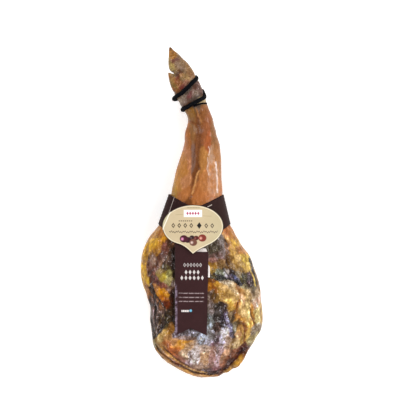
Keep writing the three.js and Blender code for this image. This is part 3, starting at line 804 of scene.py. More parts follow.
    ((30, 118), 18, 5, 92, (170, 116, 66)),
    # these two: paler lines under the painted highlight streaks
    ((31, 66), 32, 1.6, 92, (190, 138, 96)),
    ((15, 88), 12, 1.8, 88, (186, 136, 100)),
    ((10, 66), 22, 6, 80, (180, 118, 64)),
    ((18, 52), 14, 7, 80, (186, 126, 76)),
    ((-38, 90), 26, 5, 76, (180, 122, 60)),
    ((-46, 70), 18, 6, 76, (182, 126, 58)),
    ((-34, 64), 12, 9, 0, (186, 128, 84)),
    ((-57, 50), 16, 4, 75, (176, 130, 50)),
    ((-28, 44), 14, 6, 40, (178, 114, 62)),
    ((4, 36), 14, 7, 0, (184, 116, 62)),
    # the pastern, between the cord's turns
    ((-22, 238), 26, 12, -60, (102, 84, 72)),
    ((-8, 256), 12, 7, -60, (106, 70, 56)),
    ((-22, 240), 9, 4, 50, (126, 66, 64)),
    ((-13, 246), 8, 5, 40, (154, 134, 118)),
    ((-34, 228), 9, 5, 40, (122, 98, 84)),
    ((-41, 234), 7, 3.5, 60, (150, 128, 108)),
    ((3, 230), 8, 4, 20, (202, 178, 136)),
    ((-28, 221), 9, 3.5, 10, (104, 64, 34)),
    # the claw and the dewclaw
    ((-45, 292), 40, 24, -55, (158, 128, 92)),
    ((-61, 326), 15, 5, -76, (172, 118, 46)),
    ((-65, 340), 2.5, 2, 90, (92, 70, 40)),
    ((-56, 312), 7, 4, 20, (142, 96, 84)),
    ((-47, 302), 14, 5, -60, (160, 134, 112)),
    ((-36, 300), 16, 6, -58, (148, 118, 86)),
    ((-27, 298), 15, 4, -56, (166, 126, 80)),
    ((-62, 298), 13, 3.5, -75, (168, 142, 84)),
    ((-34, 278), 10, 7, 0, (178, 144, 96)),
    ((-24, 284), 9, 5, -50, (160, 118, 80)),
    ((-46, 287), 7, 3.5, 50, (106, 66, 32)),
    ((-41, 281), 4, 3, 0, (206, 160, 110)),
    ((-48, 277), 10, 3.5, 50, (142, 74, 46)),
    ((-62, 278), 13, 4, -64, (176, 132, 78)),
    ((-58, 262), 13, 4, -64, (140, 108, 56)),
    ((-50, 268), 8, 4, -50, (178, 120, 74)),
    ((-40, 259), 5, 3, 30, (136, 66, 52)),
    ((-34, 265), 8, 3.5, 40, (190, 138, 112)),
    ((-52, 250), 9, 4, -30, (148, 94, 48)),
    ((-68, 283), 6, 2.5, 90, (168, 112, 40)),
]

# Lines of colour on the upper side: half-width, colour, then the line they follow.
streaks = [
    (1.6, (226, 168, 108), [(-6, 86), (-10, 74), (-15, 56), (-20, 40)]),
    (1.2, (176, 122, 72), [(-12, 214), (-6, 198), (-1, 186)]),
    (1.4, (142, 82, 36), [(-26, 188), (-18, 184), (-11, 180)]),
    # these three: painted highlights, the broken white streaks on the shank
    (1.1, (226, 200, 184), [(14, 136), (16, 127), (14, 118)]),
    (0.9, (220, 192, 176), [(12, 112), (14, 104), (12, 90), (14, 78)]),
    (1.4, (232, 210, 200), [(28, 104), (31, 86), (32, 66), (32, 42)]),
    (1.2, (112, 70, 46), [(-13, 142), (-15, 122), (-18, 100)]),
    (1.3, (222, 190, 96), [(92, -103), (99, -118), (106, -132), (111, -149)]),
    (1.2, (40, 28, 14), [(96, -93), (103, -110), (109, -130), (112, -147)]),
    (1.4, (86, 50, 20), [(48, -56), (54, -77), (50, -101), (58, -118)]),
    (1.2, (44, 34, 22), [(84, -120), (85, -143), (91, -151)]),
    (1.5, (98, 54, 24), [(-108, -87), (-111, -114), (-106, -140), (-101, -149)]),
    (1.3, (34, 24, 18), [(-102, -147), (-95, -166), (-86, -180), (-76, -194), (-73, -212)]),
    (1.1, (30, 22, 18), [(-86, -180), (-92, -196), (-99, -212)]),
    (1.4, (42, 30, 24), [(-72, -225), (-86, -243), (-98, -258)]),
    (0.9, (118, 60, 12), [(75, -180), (70, -196), (63, -208)]),
    (0.9, (112, 56, 12), [(99, -196), (101, -210), (107, -224)]),
    (1.1, (146, 84, 20), [(74, -216), (85, -227), (88, -240), (87, -262), (84, -276)]),
    # these two: painted highlight, silver streaks on the dark mould
    (0.9, (204, 202, 222), [(51, -206), (55, -222), (61, -238)]),
    (0.9, (190, 186, 204), [(45, -222), (48, -236), (50, -250)]),
    (1.0, (34, 28, 38), [(54, -212), (60, -230), (66, -247)]),
    (1.0, (46, 38, 36), [(27, -196), (25, -216), (28, -240)]),
    (1.0, (48, 40, 44), [(38, -196), (40, -212), (38, -230)]),
    (3.6, (104, 38, 18), [(90, -277), (80, -286)]),
    (2.8, (98, 34, 14), [(80, -286), (70, -298)]),
    (1.8, (92, 32, 10), [(70, -298), (60, -309), (48, -321)]),
    (1.2, (30, 26, 34), [(44, -114), (50, -124), (58, -134)]),
    (1.8, (28, 25, 32), [(24, -124), (34, -129), (44, -132), (60, -138), (78, -145)]),
    (0.9, (160, 138, 98), [(-78, -210), (-86, -223), (-94, -237)]),
    (0.7, (158, 136, 134), [(-101, -176), (-98, -194), (-100, -214)]),
    (0.7, (150, 128, 124), [(-94, -184), (-90, -200), (-93, -218)]),
    (0.7, (146, 122, 114), [(-82, -202), (-85, -214), (-80, -228)]),
    (0.7, (152, 132, 128), [(-95, -222), (-91, -232), (-94, -246)]),
    (1.0, (24, 18, 16), [(-96, -180), (-95, -202), (-96, -226), (-91, -240)]),
    # these two: painted highlight, the white glare stripes on the lower left
    (2.4, (230, 220, 220), [(-18, -281), (-15, -296), (-16, -308)]),
    (1.3, (224, 210, 206), [(-8, -287), (-7, -299), (-9, -312)]),
    (1.1, (112, 86, 84), [(-24, -284), (-23, -298), (-27, -308)]),
    # painted highlight: a silver-blue glare streak
    (1.2, (236, 230, 238), [(44, -238), (46, -250), (43, -262)]),
    (1.0, (206, 190, 200), [(33, -272), (31, -290), (30, -306)]),
    (1.3, (76, 38, 16), [(-95, -270), (-87, -283), (-73, -295), (-55, -308), (-38, -317.5), (-21, -326),
                         (-4, -330), (16, -332), (34, -329)]),
    (1.4, (214, 166, 92), [(-82, -276.5), (-68, -290.5), (-51, -303.5), (-36, -314), (-21, -321.5),
                           (-8, -326), (10, -328)]),
    (1.2, (112, 58, 24), [(-80, -274.5), (-69, -284.5), (-53, -298), (-38, -308), (-25, -317), (-8, -322.5)]),
    (1.4, (70, 44, 44), [(6, -326), (24, -327), (38, -322)]),
    (1.6, (40, 30, 28), [(-106, -172), (-105, -200), (-103, -231), (-100, -258)]),
]


def seenPlaces(points):                          # where each point shows on the patches' level, from above
    nearer = 1 + (points[:, 2:] - tones["level"]) / tones["eye"]
    centre = np.array(cameraSetup["centre"]) / mm
    return centre + (points[:, :2] - centre) * nearer


def patchTone(places, plain, body):
    # Each patch counts by a bell over its ellipse, divided by its area; a place takes their weighted mean.
    crispness = mixed(*tones["crispness"], body)
    total = np.full((len(places), 1), tones["betweenPatches"])
    colour = plain * total
    for place, halfLength, halfWidth, turn, tone in patches:
        along, across = turned(places, place, turn)
        fall = tones["patchFall"] * ((along / halfLength) ** 2 + (across / halfWidth) ** 2)
        weight = ((np.exp(-fall) / (halfLength * halfWidth)) ** crispness)[:, None]
        total += weight
        colour += weight * linear(tone)
    return colour / total


def streaked(colour, places):                    # each streak's colour over the last, fading at its sides
    for halfWidth, tone, route in streaks:
        amount = smooth((halfWidth * tones["streakReach"] - strokeDistance(places, route)) / halfWidth)
        colour = mixed(colour, linear(tone), amount[:, None] * tones["streakStrength"])
    return colour


def roughAt(colour):                             # rougher where it is grey or dark than where it is golden
    golden = 1 - colour[:, 2] / colour[:, 0]
    rough = np.clip(tones["roughOnGrey"] - tones["smoothOnGold"] * golden, *tones["roughLimits"])
    adds, below, fade = tones["roughOnDark"]
    return rough + adds * smooth((below - colour.mean(1)) / fade)


def rindTone(points, grain):                     # brown with slow dark spots, and grain over both
    size, sharpness, share, reach = tones["rindSpots"]
    spots = smooth(fractalNoise(points, size, 3, 45) * sharpness + share)[:, None]
    tone = mixed(linear(tones["rind"]), linear(tones["rindDark"]), spots * reach)
    return tone * np.exp(tones["rindGrain"] * grain)[:, None]


def glintFlecked(colour, grain, relief, body, rough):
    # Painted highlights: light flecks where the grain and the relief stand up.
    reliefAdds, start, fade = tones["fleckFrom"]
    onShank, onMeat = tones["fleckShare"]
    fleck = smooth((grain + reliefAdds * relief - start) / fade) * (onShank + onMeat * body) * rough
    fleck = fleck[:, None]
    brighter, white = tones["flecks"]
    return colour * (1 + fleck * brighter) + linear(tones["fleckTone"]) * fleck * white


def toneAt(points, normals, relief):
    # Patches, streaks, grain, painted shade in the hollows and painted highlights as flecks on the upper
    # side, rind elsewhere, and painted shade on the steep sides between.
    far, size, fineFar, fineSize = tones["wander"]
    wander = np.stack([far * fractalNoise(points, size, 3, seed)
                       + fineFar * fractalNoise(points, fineSize, 2, seed + 2) for seed in (41, 42)], axis=1)
    y, slope, places = points[:, 1], normals[:, 2], seenPlaces(points)
    front = smooth((slope - tones["front"][0]) / tones["front"][1])[:, None]
    body = smooth((tones["body"][0] - y) / tones["body"][1])
    foot = smooth((y - tones["foot"][0]) / tones["foot"][1])
    plain = mixed(linear(tones["shank"]), linear(tones["fat"]), body[:, None])
    colour = patchTone(places + wander, plain, body)
    colour = streaked(colour, places + wander * tones["streakWander"])
    (fibreStrength, fibreSize), (roundStrength, roundSize) = tones["fibreGrain"], tones["roundGrain"]
    grain = fibreStrength * fractalNoise(alongFibres(points), fibreSize, 2, 51)
    grain += roundStrength * fractalNoise(points, roundSize, 3, 46)
    rough = roughAt(colour)
    onSkin, onMeat, onFoot = tones["grain"]
    depth = grain * (onSkin + onMeat * body * rough + onFoot * foot)
    colour = colour * np.exp(depth[:, None] * np.array(tones["grainTint"]))
    # painted shade: furrows and hollows are drawn darker by their depth
    hollow = np.clip(-relief, 0, 3)[:, None] * front
    colour = colour * np.exp(-hollow * np.array(tones["hollowTint"]))
    # painted highlights as light flecks on the crests
    colour = glintFlecked(colour, grain, relief, body, rough)
    # painted shade: the steep sides, which turn away from the light, are drawn darker on the rind and on the
    # meat
    edgeFrom, edgeSoft, edgeTo, edgeFade = tones["edge"]
    edge = (smooth((slope - edgeFrom) / edgeSoft) * smooth((edgeTo - slope) / edgeFade))[:, None]
    rind = mixed(rindTone(points, grain), linear(tones["rindEdge"]), edge * tones["edgeOnRind"])
    colour = mixed(colour, linear(tones["rindEdge"]), edge * tones["edgeOnMeat"])
    colour = np.clip(mixed(rind, colour, front), *tones["limits"]) ** tones["strength"] * tones["light"]
    return colour, np.maximum(body * rough, foot * tones["foot"][2]) * front[:, 0]


tone, bare = toneAt(readPoints(hamMesh), readNormals(hamMesh), hamRelief)
fibrePlaces = alongFibres(readPoints(hamMesh)) * mm
hamMesh.attributes.new("tone", "FLOAT_COLOR", "POINT").data.foreach_set(
    "color", np.hstack([tone, np.ones((len(tone), 1))]).ravel())
hamMesh.attributes.new("bare", "FLOAT", "POINT").data.foreach_set("value", bare)
hamMesh.attributes.new("fibre", "FLOAT_VECTOR", "POINT").data.foreach_set("vector", fibrePlaces.ravel())
print("ham coloured")


# Materials.

class Socket:                                    # a node's output in a sum: each operator adds a Math node
    def __init__(self, material, output):
        self.material, self.output = material, output

    def __add__(self, other):
        return self.material.maths("ADD", self, other)

    def __radd__(self, other):
        return self.material.maths("ADD", other, self)

    def __sub__(self, other):
        return self.material.maths("SUBTRACT", self, other)

    def __rsub__(self, other):
        return self.material.maths("SUBTRACT", other, self)

    def __mul__(self, other):
        return self.material.maths("MULTIPLY", self, other)

    def __rmul__(self, other):
        return self.material.maths("MULTIPLY", other, self)

    def __truediv__(self, other):
        return self.material.maths("DIVIDE", self, other)

    def __rtruediv__(self, other):
        return self.material.maths("DIVIDE", other, self)

    def above(self, low, high):                  # 0 at low and 1 at high, which may be the smaller one
        return self.material.add("ShaderNodeMapRange", {"interpolation_type": "SMOOTHSTEP", "clamp": True},
                                 self, low, high, 0.0, 1.0)


class Material:
    def __init__(self, name, **shader):
        self.data = bpy.data.materials.new(name)
        self.data.use_nodes = True
        self.nodes, self.links = self.data.node_tree.nodes, self.data.node_tree.links
        self.shader = self.nodes["Principled BSDF"]
        self.set(**shader)

    def set(self, **values):                     # the shader's sockets by name, with the spaces left out
        for socket in self.shader.inputs:
            key = socket.name.replace(" ", "")
            if key in values:
                self.feed(socket, values[key])

    def feed(self, socket, value):               # a link, a colour or a number
        if isinstance(value, Socket):
            self.links.new(value.output, socket)
        elif socket.type == "RGBA" and len(value) == 3:
            socket.default_value = (*value, 1)
        else:
            socket.default_value = value

    def add(self, kind, settings=None, *values, output=0, **named):
        # Any node: its settings first, then its sockets in their order or by name, each a value or a link.
        node = self.nodes.new(kind)
        for key, value in (settings or {}).items():
            setattr(node, key, value)
        enabled = [socket for socket in node.inputs if socket.enabled]
        for socket, value in zip(enabled, values):
            self.feed(socket, value)
        for key, value in named.items():
            self.feed(next(socket for socket in enabled if socket.name.replace(" ", "") == key), value)
        if isinstance(output, str):
            return Socket(self, node.outputs[output])
        return Socket(self, [socket for socket in node.outputs if socket.enabled][output])

    def maths(self, operation, *values):
        return self.add("ShaderNodeMath", {"operation": operation}, *values)

    def place(self):                             # object coordinates, in metres
        return self.add("ShaderNodeTexCoord", output="Object")

    def read(self, name, output="Fac"):          # a value or colour kept on the mesh
        return self.add("ShaderNodeAttribute", {"attribute_name": name}, output=output)

    def noise(self, size, detail=3.0, roughness=0.55, where=None):
        return self.add("ShaderNodeTexNoise", None, where or self.place(), Scale=1 / (size * mm),
                        Detail=detail, Roughness=roughness)

    def mix(self, amount, first, second, blend="MIX"):
        return self.add("ShaderNodeMix", {"data_type": "RGBA", "blend_type": blend}, amount, first, second)

    def bump(self, height, depth, strength):
        return self.add("ShaderNodeBump", None, strength, depth * mm, Height=height)


def paint(tone):                                 # a screen colour as a shader takes it
    return tuple(linear(tone))


skinFinish = {                  # noise: its size, detail and roughness; patches: their size and two levels
    "fine": (4.4, 4.0, 0.66), "grain": (1.8, 3.0, 0.6), "strand": (3.6, 4.0, 0.68), "wet": (9.0, 3.0, 0.6),
    "glintPatches": (12.0, 0.42, 0.56), "pitPatches": (11.0, 0.42, 0.58), "crackPatches": (16.0, 0.4, 0.56),
    "glintCut": (0.54, 0.63), "pitCut": (0.42, 0.32), "crackCut": (0.2, 0.03), "wetCut": (0.35, 0.62),
    "fineShade": (0.4, 1.7), "strandShade": (0.6, 1.2),     # on the skin, and what bare meat adds
    "glintShade": (0.25, 1.1), "glintWhite": (0.06, 0.3),
    "pitDepth": (0.02, 0.65), "crackDepth": (-0.16, 0.66),
    "shadeTint": (0.85, 1, 1.25),       # how much of the shading red, green and blue take
    "pitTone": (52, 32, 20), "glintTone": (232, 224, 226), "crackTint": (0.34, 0.24, 0.18),
    "cellSize": 3.4, "swaySize": 7, "swayReach": 0.005,     # the cells between cracks, and how they are bent
    "wetRoughness": (0.44, 0.18), "wetCoat": (0.02, 0.34),
    "relief": (0.4, 0.2, 1.0, 0.6), "reliefDepth": 1.3,     # of fine noise, grain, strands and cracks
}


def makeHamSkin():
    # The mesh's own tones, shaded by three noises. Over them lie white glints, dark pits and fine cracks.
    skin = Material("ham_surface", IOR=1.45, CoatRoughness=0.08, SpecularIORLevel=0.12)
    tone, bare, fibre = skin.read("tone", "Color"), skin.read("bare"), skin.read("fibre", "Vector")
    fine, grain = skin.noise(*skinFinish["fine"]), skin.noise(*skinFinish["grain"])
    strand = skin.noise(*skinFinish["strand"], where=fibre)

    def amount(kind):                            # how much on the skin, and what bare meat adds
        onSkin, onMeat = skinFinish[kind]
        return bare * onMeat + onSkin

    def patchy(kind):                            # soft patches of a slow noise
        size, low, high = skinFinish[kind]
        return skin.noise(size, 2.0).above(low, high)

    shade = (fine - 0.5) * amount("fineShade") + (strand - 0.5) * amount("strandShade")
    glint = (strand * 0.5 + grain * 0.5).above(*skinFinish["glintCut"]) * patchy("glintPatches")
    shade = shade + glint * amount("glintShade")
    tint = skin.add("ShaderNodeCombineXYZ", None, *[shade * share + 1 for share in skinFinish["shadeTint"]])
    colour = skin.mix(1.0, tone, tint, "MULTIPLY")
    pits = strand.above(*skinFinish["pitCut"]) * patchy("pitPatches")
    colour = skin.mix(pits * amount("pitDepth"), colour, paint(skinFinish["pitTone"]))
    sway = skin.add("ShaderNodeTexNoise", None, fibre, Scale=1 / (skinFinish["swaySize"] * mm), Detail=2.0,
                    output="Color")
    reach = [skinFinish["swayReach"]] * 3
    bent = skin.add("ShaderNodeVectorMath", {"operation": "MULTIPLY_ADD"}, sway, reach, fibre)
    cells = skin.add("ShaderNodeTexVoronoi", {"feature": "DISTANCE_TO_EDGE"}, bent,
                     Scale=1 / (skinFinish["cellSize"] * mm))
    cracks = cells.above(*skinFinish["crackCut"]) * patchy("crackPatches")
    colour = skin.mix(cracks * amount("crackDepth"), colour, skinFinish["crackTint"], "MULTIPLY")
    wet = skin.noise(*skinFinish["wet"]).above(*skinFinish["wetCut"])
    colour = skin.mix(glint * amount("glintWhite"), colour, paint(skinFinish["glintTone"]))
    fineHigh, grainHigh, strandHigh, crackDeep = skinFinish["relief"]
    height = fine * fineHigh + grain * grainHigh + strand * strandHigh - cracks * bare * crackDeep
    dry, wetSmoother = skinFinish["wetRoughness"]
    leastCoat, wetCoat = skinFinish["wetCoat"]
    skin.set(BaseColor=colour, Roughness=dry - wet * wetSmoother, CoatWeight=wet * wetCoat + leastCoat,
             Normal=skin.bump(height, skinFinish["reliefDepth"], 0.8))
    return skin.data


ham = objectFrom("shoulder_of_ham", hamMesh)
hamMesh.materials.clear()
hamMesh.materials.append(makeHamSkin())
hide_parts("cured_shoulder")
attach(ham, "root")


# The cord.

knotShape = {
    "turns": 2.1, "radius": 4.4, "from": -6, "length": 10, "lift": 1.2,     # round the cord's upper end
    "tail": (8, 12, -2.5),      # the tail's reach along the cord, across it and off the skin
    "cordRadius": 2.9, "sides": 20, "steps": (160, 40),
    "lead": 6,                  # how many steps of the cord give its direction
    "facing": (0.3, 0.5, 0.8),
}
cordFinish = {"dark": (3, 3, 5), "light": (16, 17, 23), "size": 0.9, "roughness": (0.6, 0.2), "depth": 0.35}


def tubeAlong(line, side, radius):
    # A tube's rings across the line's direction, their zero angle towards side, with a radius at each point.
    along = np.gradient(line, axis=0)
    along /= np.linalg.norm(along, axis=1, keepdims=True)
    side = side - along * (side * along).sum(1, keepdims=True)
    side /= np.linalg.norm(side, axis=1, keepdims=True)
    other = np.cross(along, side)
    angle = np.linspace(0, 2 * np.pi, radius.shape[1], endpoint=False)
    ring = side[:, None] * np.cos(angle)[:, None] + other[:, None] * np.sin(angle)[:, None]
    return line[:, None] + ring * radius[..., None]


def wovenRadius(line, around, radius):
    # Strands wound both ways: at each place the strand on top is the higher of two slanted waves. Both ends
    # are rounded off by a quarter of a circle.
    run = np.concatenate([[0], np.cumsum(np.linalg.norm(np.diff(line, axis=0), axis=1))])[:, None]
    radius = np.broadcast_to(radius, len(line))[:, None]
    angle = np.linspace(0, 2 * np.pi, around, endpoint=False)[None]
    turn = 2 * np.pi * run / cordSetup["weaveLength"]
    strands = cordSetup["strands"] / 2
    wave = np.maximum(np.cos(strands * angle + turn), np.cos(strands * angle - turn))
    fromEnd = (np.minimum(run, run[-1] - run) / radius).clip(0, 1)
    rounded = np.sqrt(np.clip(1 - (1 - fromEnd) ** 2, cordSetup["leastEnd"], 1))
    return radius * (1 + cordSetup["weave"] * (wave - cordSetup["weaveMiddle"])) * rounded


def knotLine():
    # Two turns wound round the cord's upper end, then a short straight tail that comes down to the skin.
    start = cordLine[0]
    along = start - cordLine[knotShape["lead"]]
    along /= np.linalg.norm(along)
    out = skinNormal(start[1:2], 2 * np.pi * cordTurn[:1])[0]
    out = out - along * (out @ along)
    out /= np.linalg.norm(out)
    other = np.cross(along, out)
    woundSteps, tailSteps = knotShape["steps"]
    t = np.linspace(0, 1, woundSteps)[:, None]
    angle = 2 * np.pi * knotShape["turns"] * t
    wound = start + along * (knotShape["length"] * t + knotShape["from"]) + out * knotShape["lift"]
    wound = wound + (out * np.cos(angle) + other * np.sin(angle)) * knotShape["radius"]
    tailAlong, tailAcross, tailOut = knotShape["tail"]
    t = np.linspace(0, 1, tailSteps)[1:, None]
    return np.vstack([wound, wound[-1] + (along * tailAlong + other * tailAcross + out * tailOut) * t])


def makeCordFibre():
    fibre = Material("black_cord", SpecularIORLevel=0.05)
    fine = fibre.noise(cordFinish["size"], 3.0, 0.6)
    least, adds = cordFinish["roughness"]
    colour = fibre.mix(fine.above(0.35, 0.75), paint(cordFinish["dark"]), paint(cordFinish["light"]))
    height = fibre.bump(fine, cordFinish["depth"], 0.7)
    fibre.set(BaseColor=colour, Roughness=fine * adds + least, Normal=height)
    return fibre.data


cordSide = skinNormal(cordLine[:, 1], 2 * np.pi * cordTurn)
cordBraid = wovenRadius(cordLine, cordSetup["sides"], cordRadius + cordSetup["swell"])
knot = knotLine()
knotSide = np.cross(np.gradient(knot, axis=0), knotShape["facing"])
knotBraid = wovenRadius(knot, knotShape["sides"], knotShape["cordRadius"])
cordTubes = [tubeAlong(cordLine, cordSide, cordBraid), tubeAlong(knot, knotSide, knotBraid)]
cordPoints, cordFaces = joinedSolids(cordTubes)
cord = objectFrom("braided_cord", meshFrom("braided_cord", cordPoints, cordFaces), makeCordFibre())
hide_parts("hanging_cord")
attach(cord, "root")
print("cord:", len(cordFaces), "faces")


# The cards. Each grid is its rows, then its columns.

cardStock = {
    "thickness": 0.6, "paper": 0.35, "back": ((196, 180, 158), (214, 200, 180)),
    "grain": 1.4, "cloud": 26, "cloudLight": (0.86, 1.16),      # the brown card's grain and its slow clouds
    "roughness": (0.5, 0.14), "relief": 0.12,
}
printUnit = 100                 # one unit of a card's UV map, in millimetres

bandShape = {
    "topY": 37.5, "bottomY": -24, "topFall": 28, "bottomFall": 37, "clearance": 1.4,
    "foldAngle": 158, "foldTop": 5.2, "foldBottom": 1.6, "foldReach": 34,
    "lap": 24, "lapStep": 1.2, "grid": (25, 181),
    "printPerDegree": 1.2, "printHeight": 60,
}
bandInk = {
    "card": (43, 24, 22),
    # the crease: a pale line of painted highlight along the fold
    "crease": {"x": -23, "half": 0.7, "soft": 0.5, "amount": 0.85, "tone": (206, 192, 182)},
    "dash": {"place": (-114, 52.5), "half": (6, 0.6), "soft": 0.4, "amount": 0.8, "tone": (226, 212, 200)},
}
stripShape = {
    "left": -54, "right": 13.5, "taper": 3.5, "notch": 15,
    "topLeftY": -56, "topRightY": -78.5, "bottomY": -248,
    "topBend": 1.45,            # the top edge is down at its right level this early
    "clearance": 2.6, "curl": 4.5, "curlFrom": -150, "curlOver": 50, "curlPower": 6,
    "wave": (0.5, 17),          # height and length of the waves along its right side
    "footLift": (2.0, -215, 40),    # how far its foot is lifted, from where and over what length
    "grid": (97, 33),
}
stripInk = {
    "card": (56, 33, 34), "pale": (236, 228, 224),
    "diamonds": [               # middle, half the row, half the height, pitch, fill, hollow share, amount
        (-18.6, -105, 19.2, 4.4, 6.4, 0.9, 0.5, 0.55),
        (-19.6, -119.4, 16.2, 4.7, 8.1, 0.7, 0.0, 0.8),
        (-19.6, -130.9, 24.8, 4.7, 8.27, 0.7, 0.0, 0.8),
    ],
    "lines": {"levels": (-162, -170.3, -178.4), "x": -21, "dashes": (25.5, 1.0, 11.3, 0.88), "amount": 0.75,
              "tone": (186, 166, 166)},
    "mark": (-33.5, -197.9, 7.6, 2.0, 3.8, 0.8),
    "dot": {"place": (-22.4, -197.1), "radii": (2.9, 2.3), "tone": (116, 186, 214)},
    # a pale lilac painted highlight along the curled-up lower left edge
    "worn": {"x": (-52.4, 2.6, 1.8), "y": (-196, 48, 6), "amount": 0.8, "tone": (150, 132, 152)},
}
medallionShape = {
    "centre": (-18, -27.5), "halfWidth": 61.7, "halfHeight": 43.3, "point": 13, "pointHalfWidth": 45,
    "leftCut": (4.0, -22, 18),  # the lower left of its edge is cut back: how far, about where, how widely
    "rise": 7.2, "bend": 13, "foldFrom": (-42, 38), "foldTo": (-57.5, 2), "foldDrop": 0.5,
    "grid": (41, 180),
}
medallionInk = {                # places are from the medallion's middle
    "cream": ((198, 178, 142), (212, 193, 158)),
    "shade": {"from": 5, "to": 60, "amount": 0.75, "tone": (180, 166, 128)},
    "dashes": [                 # middle, half the row, half a dash's height, pitch, share; amount, tone
        (1, 37.6, 13, 0.9, 3.2, 0.7, 0.7, (120, 112, 96)),
        (-15, 11.2, 14, 1.1, 4.1, 0.66, 0.8, (72, 52, 38)),
    ],
    "rules": [(-0.06, 25.5, -27, 8), (0.05, 22.3, 29, 9)],      # slope, level, middle, half-length
    "ruleTone": (150, 128, 88), "ruleHalf": 0.35, "ruleAmount": 0.7,
    "label": {"box": (0, 26.2, 18.4, 7.2, 0.8), "paper": (250, 244, 244),
              "diamonds": (0, 26.4, 13.6, 3.4, 5.44, 0.9), "tone": (178, 66, 98)},
    "ornament": [(-21.4, 1.9, 24.2, 5.2, 12.1, 0.62, 0.5), (32.9, 1.4, 12.1, 5.2, 12.1, 0.62, 0.5)],
    "middle": (12.8, 1.8, 4.8, 6.8, 9.6), "middleTone": (26, 22, 22),
    "waves": [(1.35, 1.1), (0.47, 0.9)],        # two waves: their turn in radians per millimetre, then height
    "waveLevel": -11.0, "waveHalf": (0.9, 49), "waveAmount": 0.85, "ink": (58, 42, 30),
    "nuts": [                   # middle, size, tone, shine; later ones lie over earlier ones
        (-1.8, -22.8, 5.4, (44, 24, 28), (110, 90, 90)),
        (6.6, -23.2, 5.2, (84, 34, 30), (150, 90, 80)),
        (-10.4, -27, 6.6, (54, 18, 28), (92, 46, 56)),
        (-18.2, -24.8, 8.2, (72, 22, 36), (236, 150, 190)),
        (19, -23.2, 8.2, (126, 44, 32), (236, 170, 150)),
        (0.8, -32, 7.8, (112, 70, 56), (232, 206, 192)),
    ],
    "nutStretch": 1.12, "nutEdge": (0.7, -0.6), "shineAt": (0.38, 0.05), "shineSize": 0.55,
    "rim": {"edge": (1.4, 0.6), "tone": (40, 28, 24)},      # a dark printed edge, partly painted shadow round the card; distances from the card's edge
    "rimLight": {"outer": (0.9, 1.7), "inner": (3.6, 2.4), "amount": 0.7, "tone": (244, 232, 204)},
    "foldShade": {"edge": (-0.5, -2.5), "amount": 0.5, "tone": (186, 178, 132)},     # and from the fold
    "foldLight": {"outer": (-1.9, -0.4), "inner": (1.7, 0.4), "amount": 0.85, "tone": (255, 250, 232)},
}
slipShape = {
    "left": -12, "topRight": 12.5, "bottomRight": 16.4, "topY": -71, "bottomY": -130, "clearance": 1.4,
    "step": (-106.5, 7),        # its right edge steps out about here, over this length
    "corner": (5, 8),           # its top corner is cut away this far, this sharply
    "grid": (31, 13), "paper": ((216, 206, 202), (240, 232, 228)),
}


class Printed(Material):                         # a card whose print is drawn from its own flat places, in mm
    def __init__(self, name, **shader):
        super().__init__(name, **shader)
        flat = self.add("ShaderNodeUVMap", {"uv_map": "print"})
        self.x = self.add("ShaderNodeSeparateXYZ", None, flat) * printUnit
        self.y = self.add("ShaderNodeSeparateXYZ", None, flat, output=1) * printUnit

    def within(self, value, middle, half, soft=0.35):
        return self.maths("ABSOLUTE", value - middle).above(half + soft, half - soft)

    def box(self, x, y, halfWidth, halfHeight, soft=0.35):
        return self.within(self.x, x, halfWidth, soft) * self.within(self.y, y, halfHeight, soft)

    def dashes(self, x, y, halfWidth, halfHeight, pitch, share):     # a row of blocks, a pitch apart
        half, soft = pitch / 2 * share, 0.175
        phase = self.maths("PINGPONG", self.x - x, pitch / 2)
        return self.box(x, y, halfWidth, halfHeight) * phase.above(half + soft, half - soft)

    def lozenges(self, x, y, halfWidth, halfHeight, pitch, fill=1.0, hollow=0.0, soft=0.3):
        # A row of diamonds: across and up, each as a share of the diamond's half-size, add up to less than 1.
        across = self.maths("PINGPONG", self.x - (x - halfWidth + pitch / 2), pitch / 2)
        size = across / (pitch / 2 * fill) + self.maths("ABSOLUTE", self.y - y) / halfHeight
        blur = soft / min(halfHeight, pitch / 2)
        row = size.above(1 + blur, 1 - blur) * self.within(self.x, x, halfWidth, 0.1)
        return row * size.above(hollow - blur, hollow + blur) if hollow else row

    def distance(self, x, y, stretch=1.0):
        sideways, up = self.x - x, (self.y - y) * stretch
        return self.maths("SQRT", sideways * sideways + up * up)

    def ink(self, colour, amount, tone):
        return self.mix(amount, colour, paint(tone))


def makeCardBack():
    back = Material("card_back", Roughness=0.8, SpecularIORLevel=0.2)
    dark, light = cardStock["back"]
    back.set(BaseColor=back.mix(back.noise(2.5, 3.0), paint(dark), paint(light)))
    return back.data


def brownCard(name, tone):                       # slightly cloudy brown card with a fine grain
    card = Printed(name, SpecularIORLevel=0.08)
    grain, cloud = card.noise(cardStock["grain"], 3.0), card.noise(cardStock["cloud"], 2.0)
    base = card.mix(cloud, *[tuple(linear(tone) * light) for light in cardStock["cloudLight"]])
    least, adds = cardStock["roughness"]
    card.set(Roughness=grain * adds + least, Normal=card.bump(grain + cloud * 2, cardStock["relief"], 0.5))
    return card, base


def makeBandCard():
    card, base = brownCard("band_card", bandInk["card"])
    crease, dash = bandInk["crease"], bandInk["dash"]
    # a noise breaks up the crease's painted highlight
    worn = card.noise(4.0, 2.0).above(0.2, 0.45)
    broken = card.within(card.x, crease["x"], crease["half"], crease["soft"]) * worn
    colour = card.ink(base, broken * crease["amount"], crease["tone"])
    line = card.box(*dash["place"], *dash["half"], dash["soft"])
    card.set(BaseColor=card.ink(colour, line * dash["amount"], dash["tone"]))
    return card.data


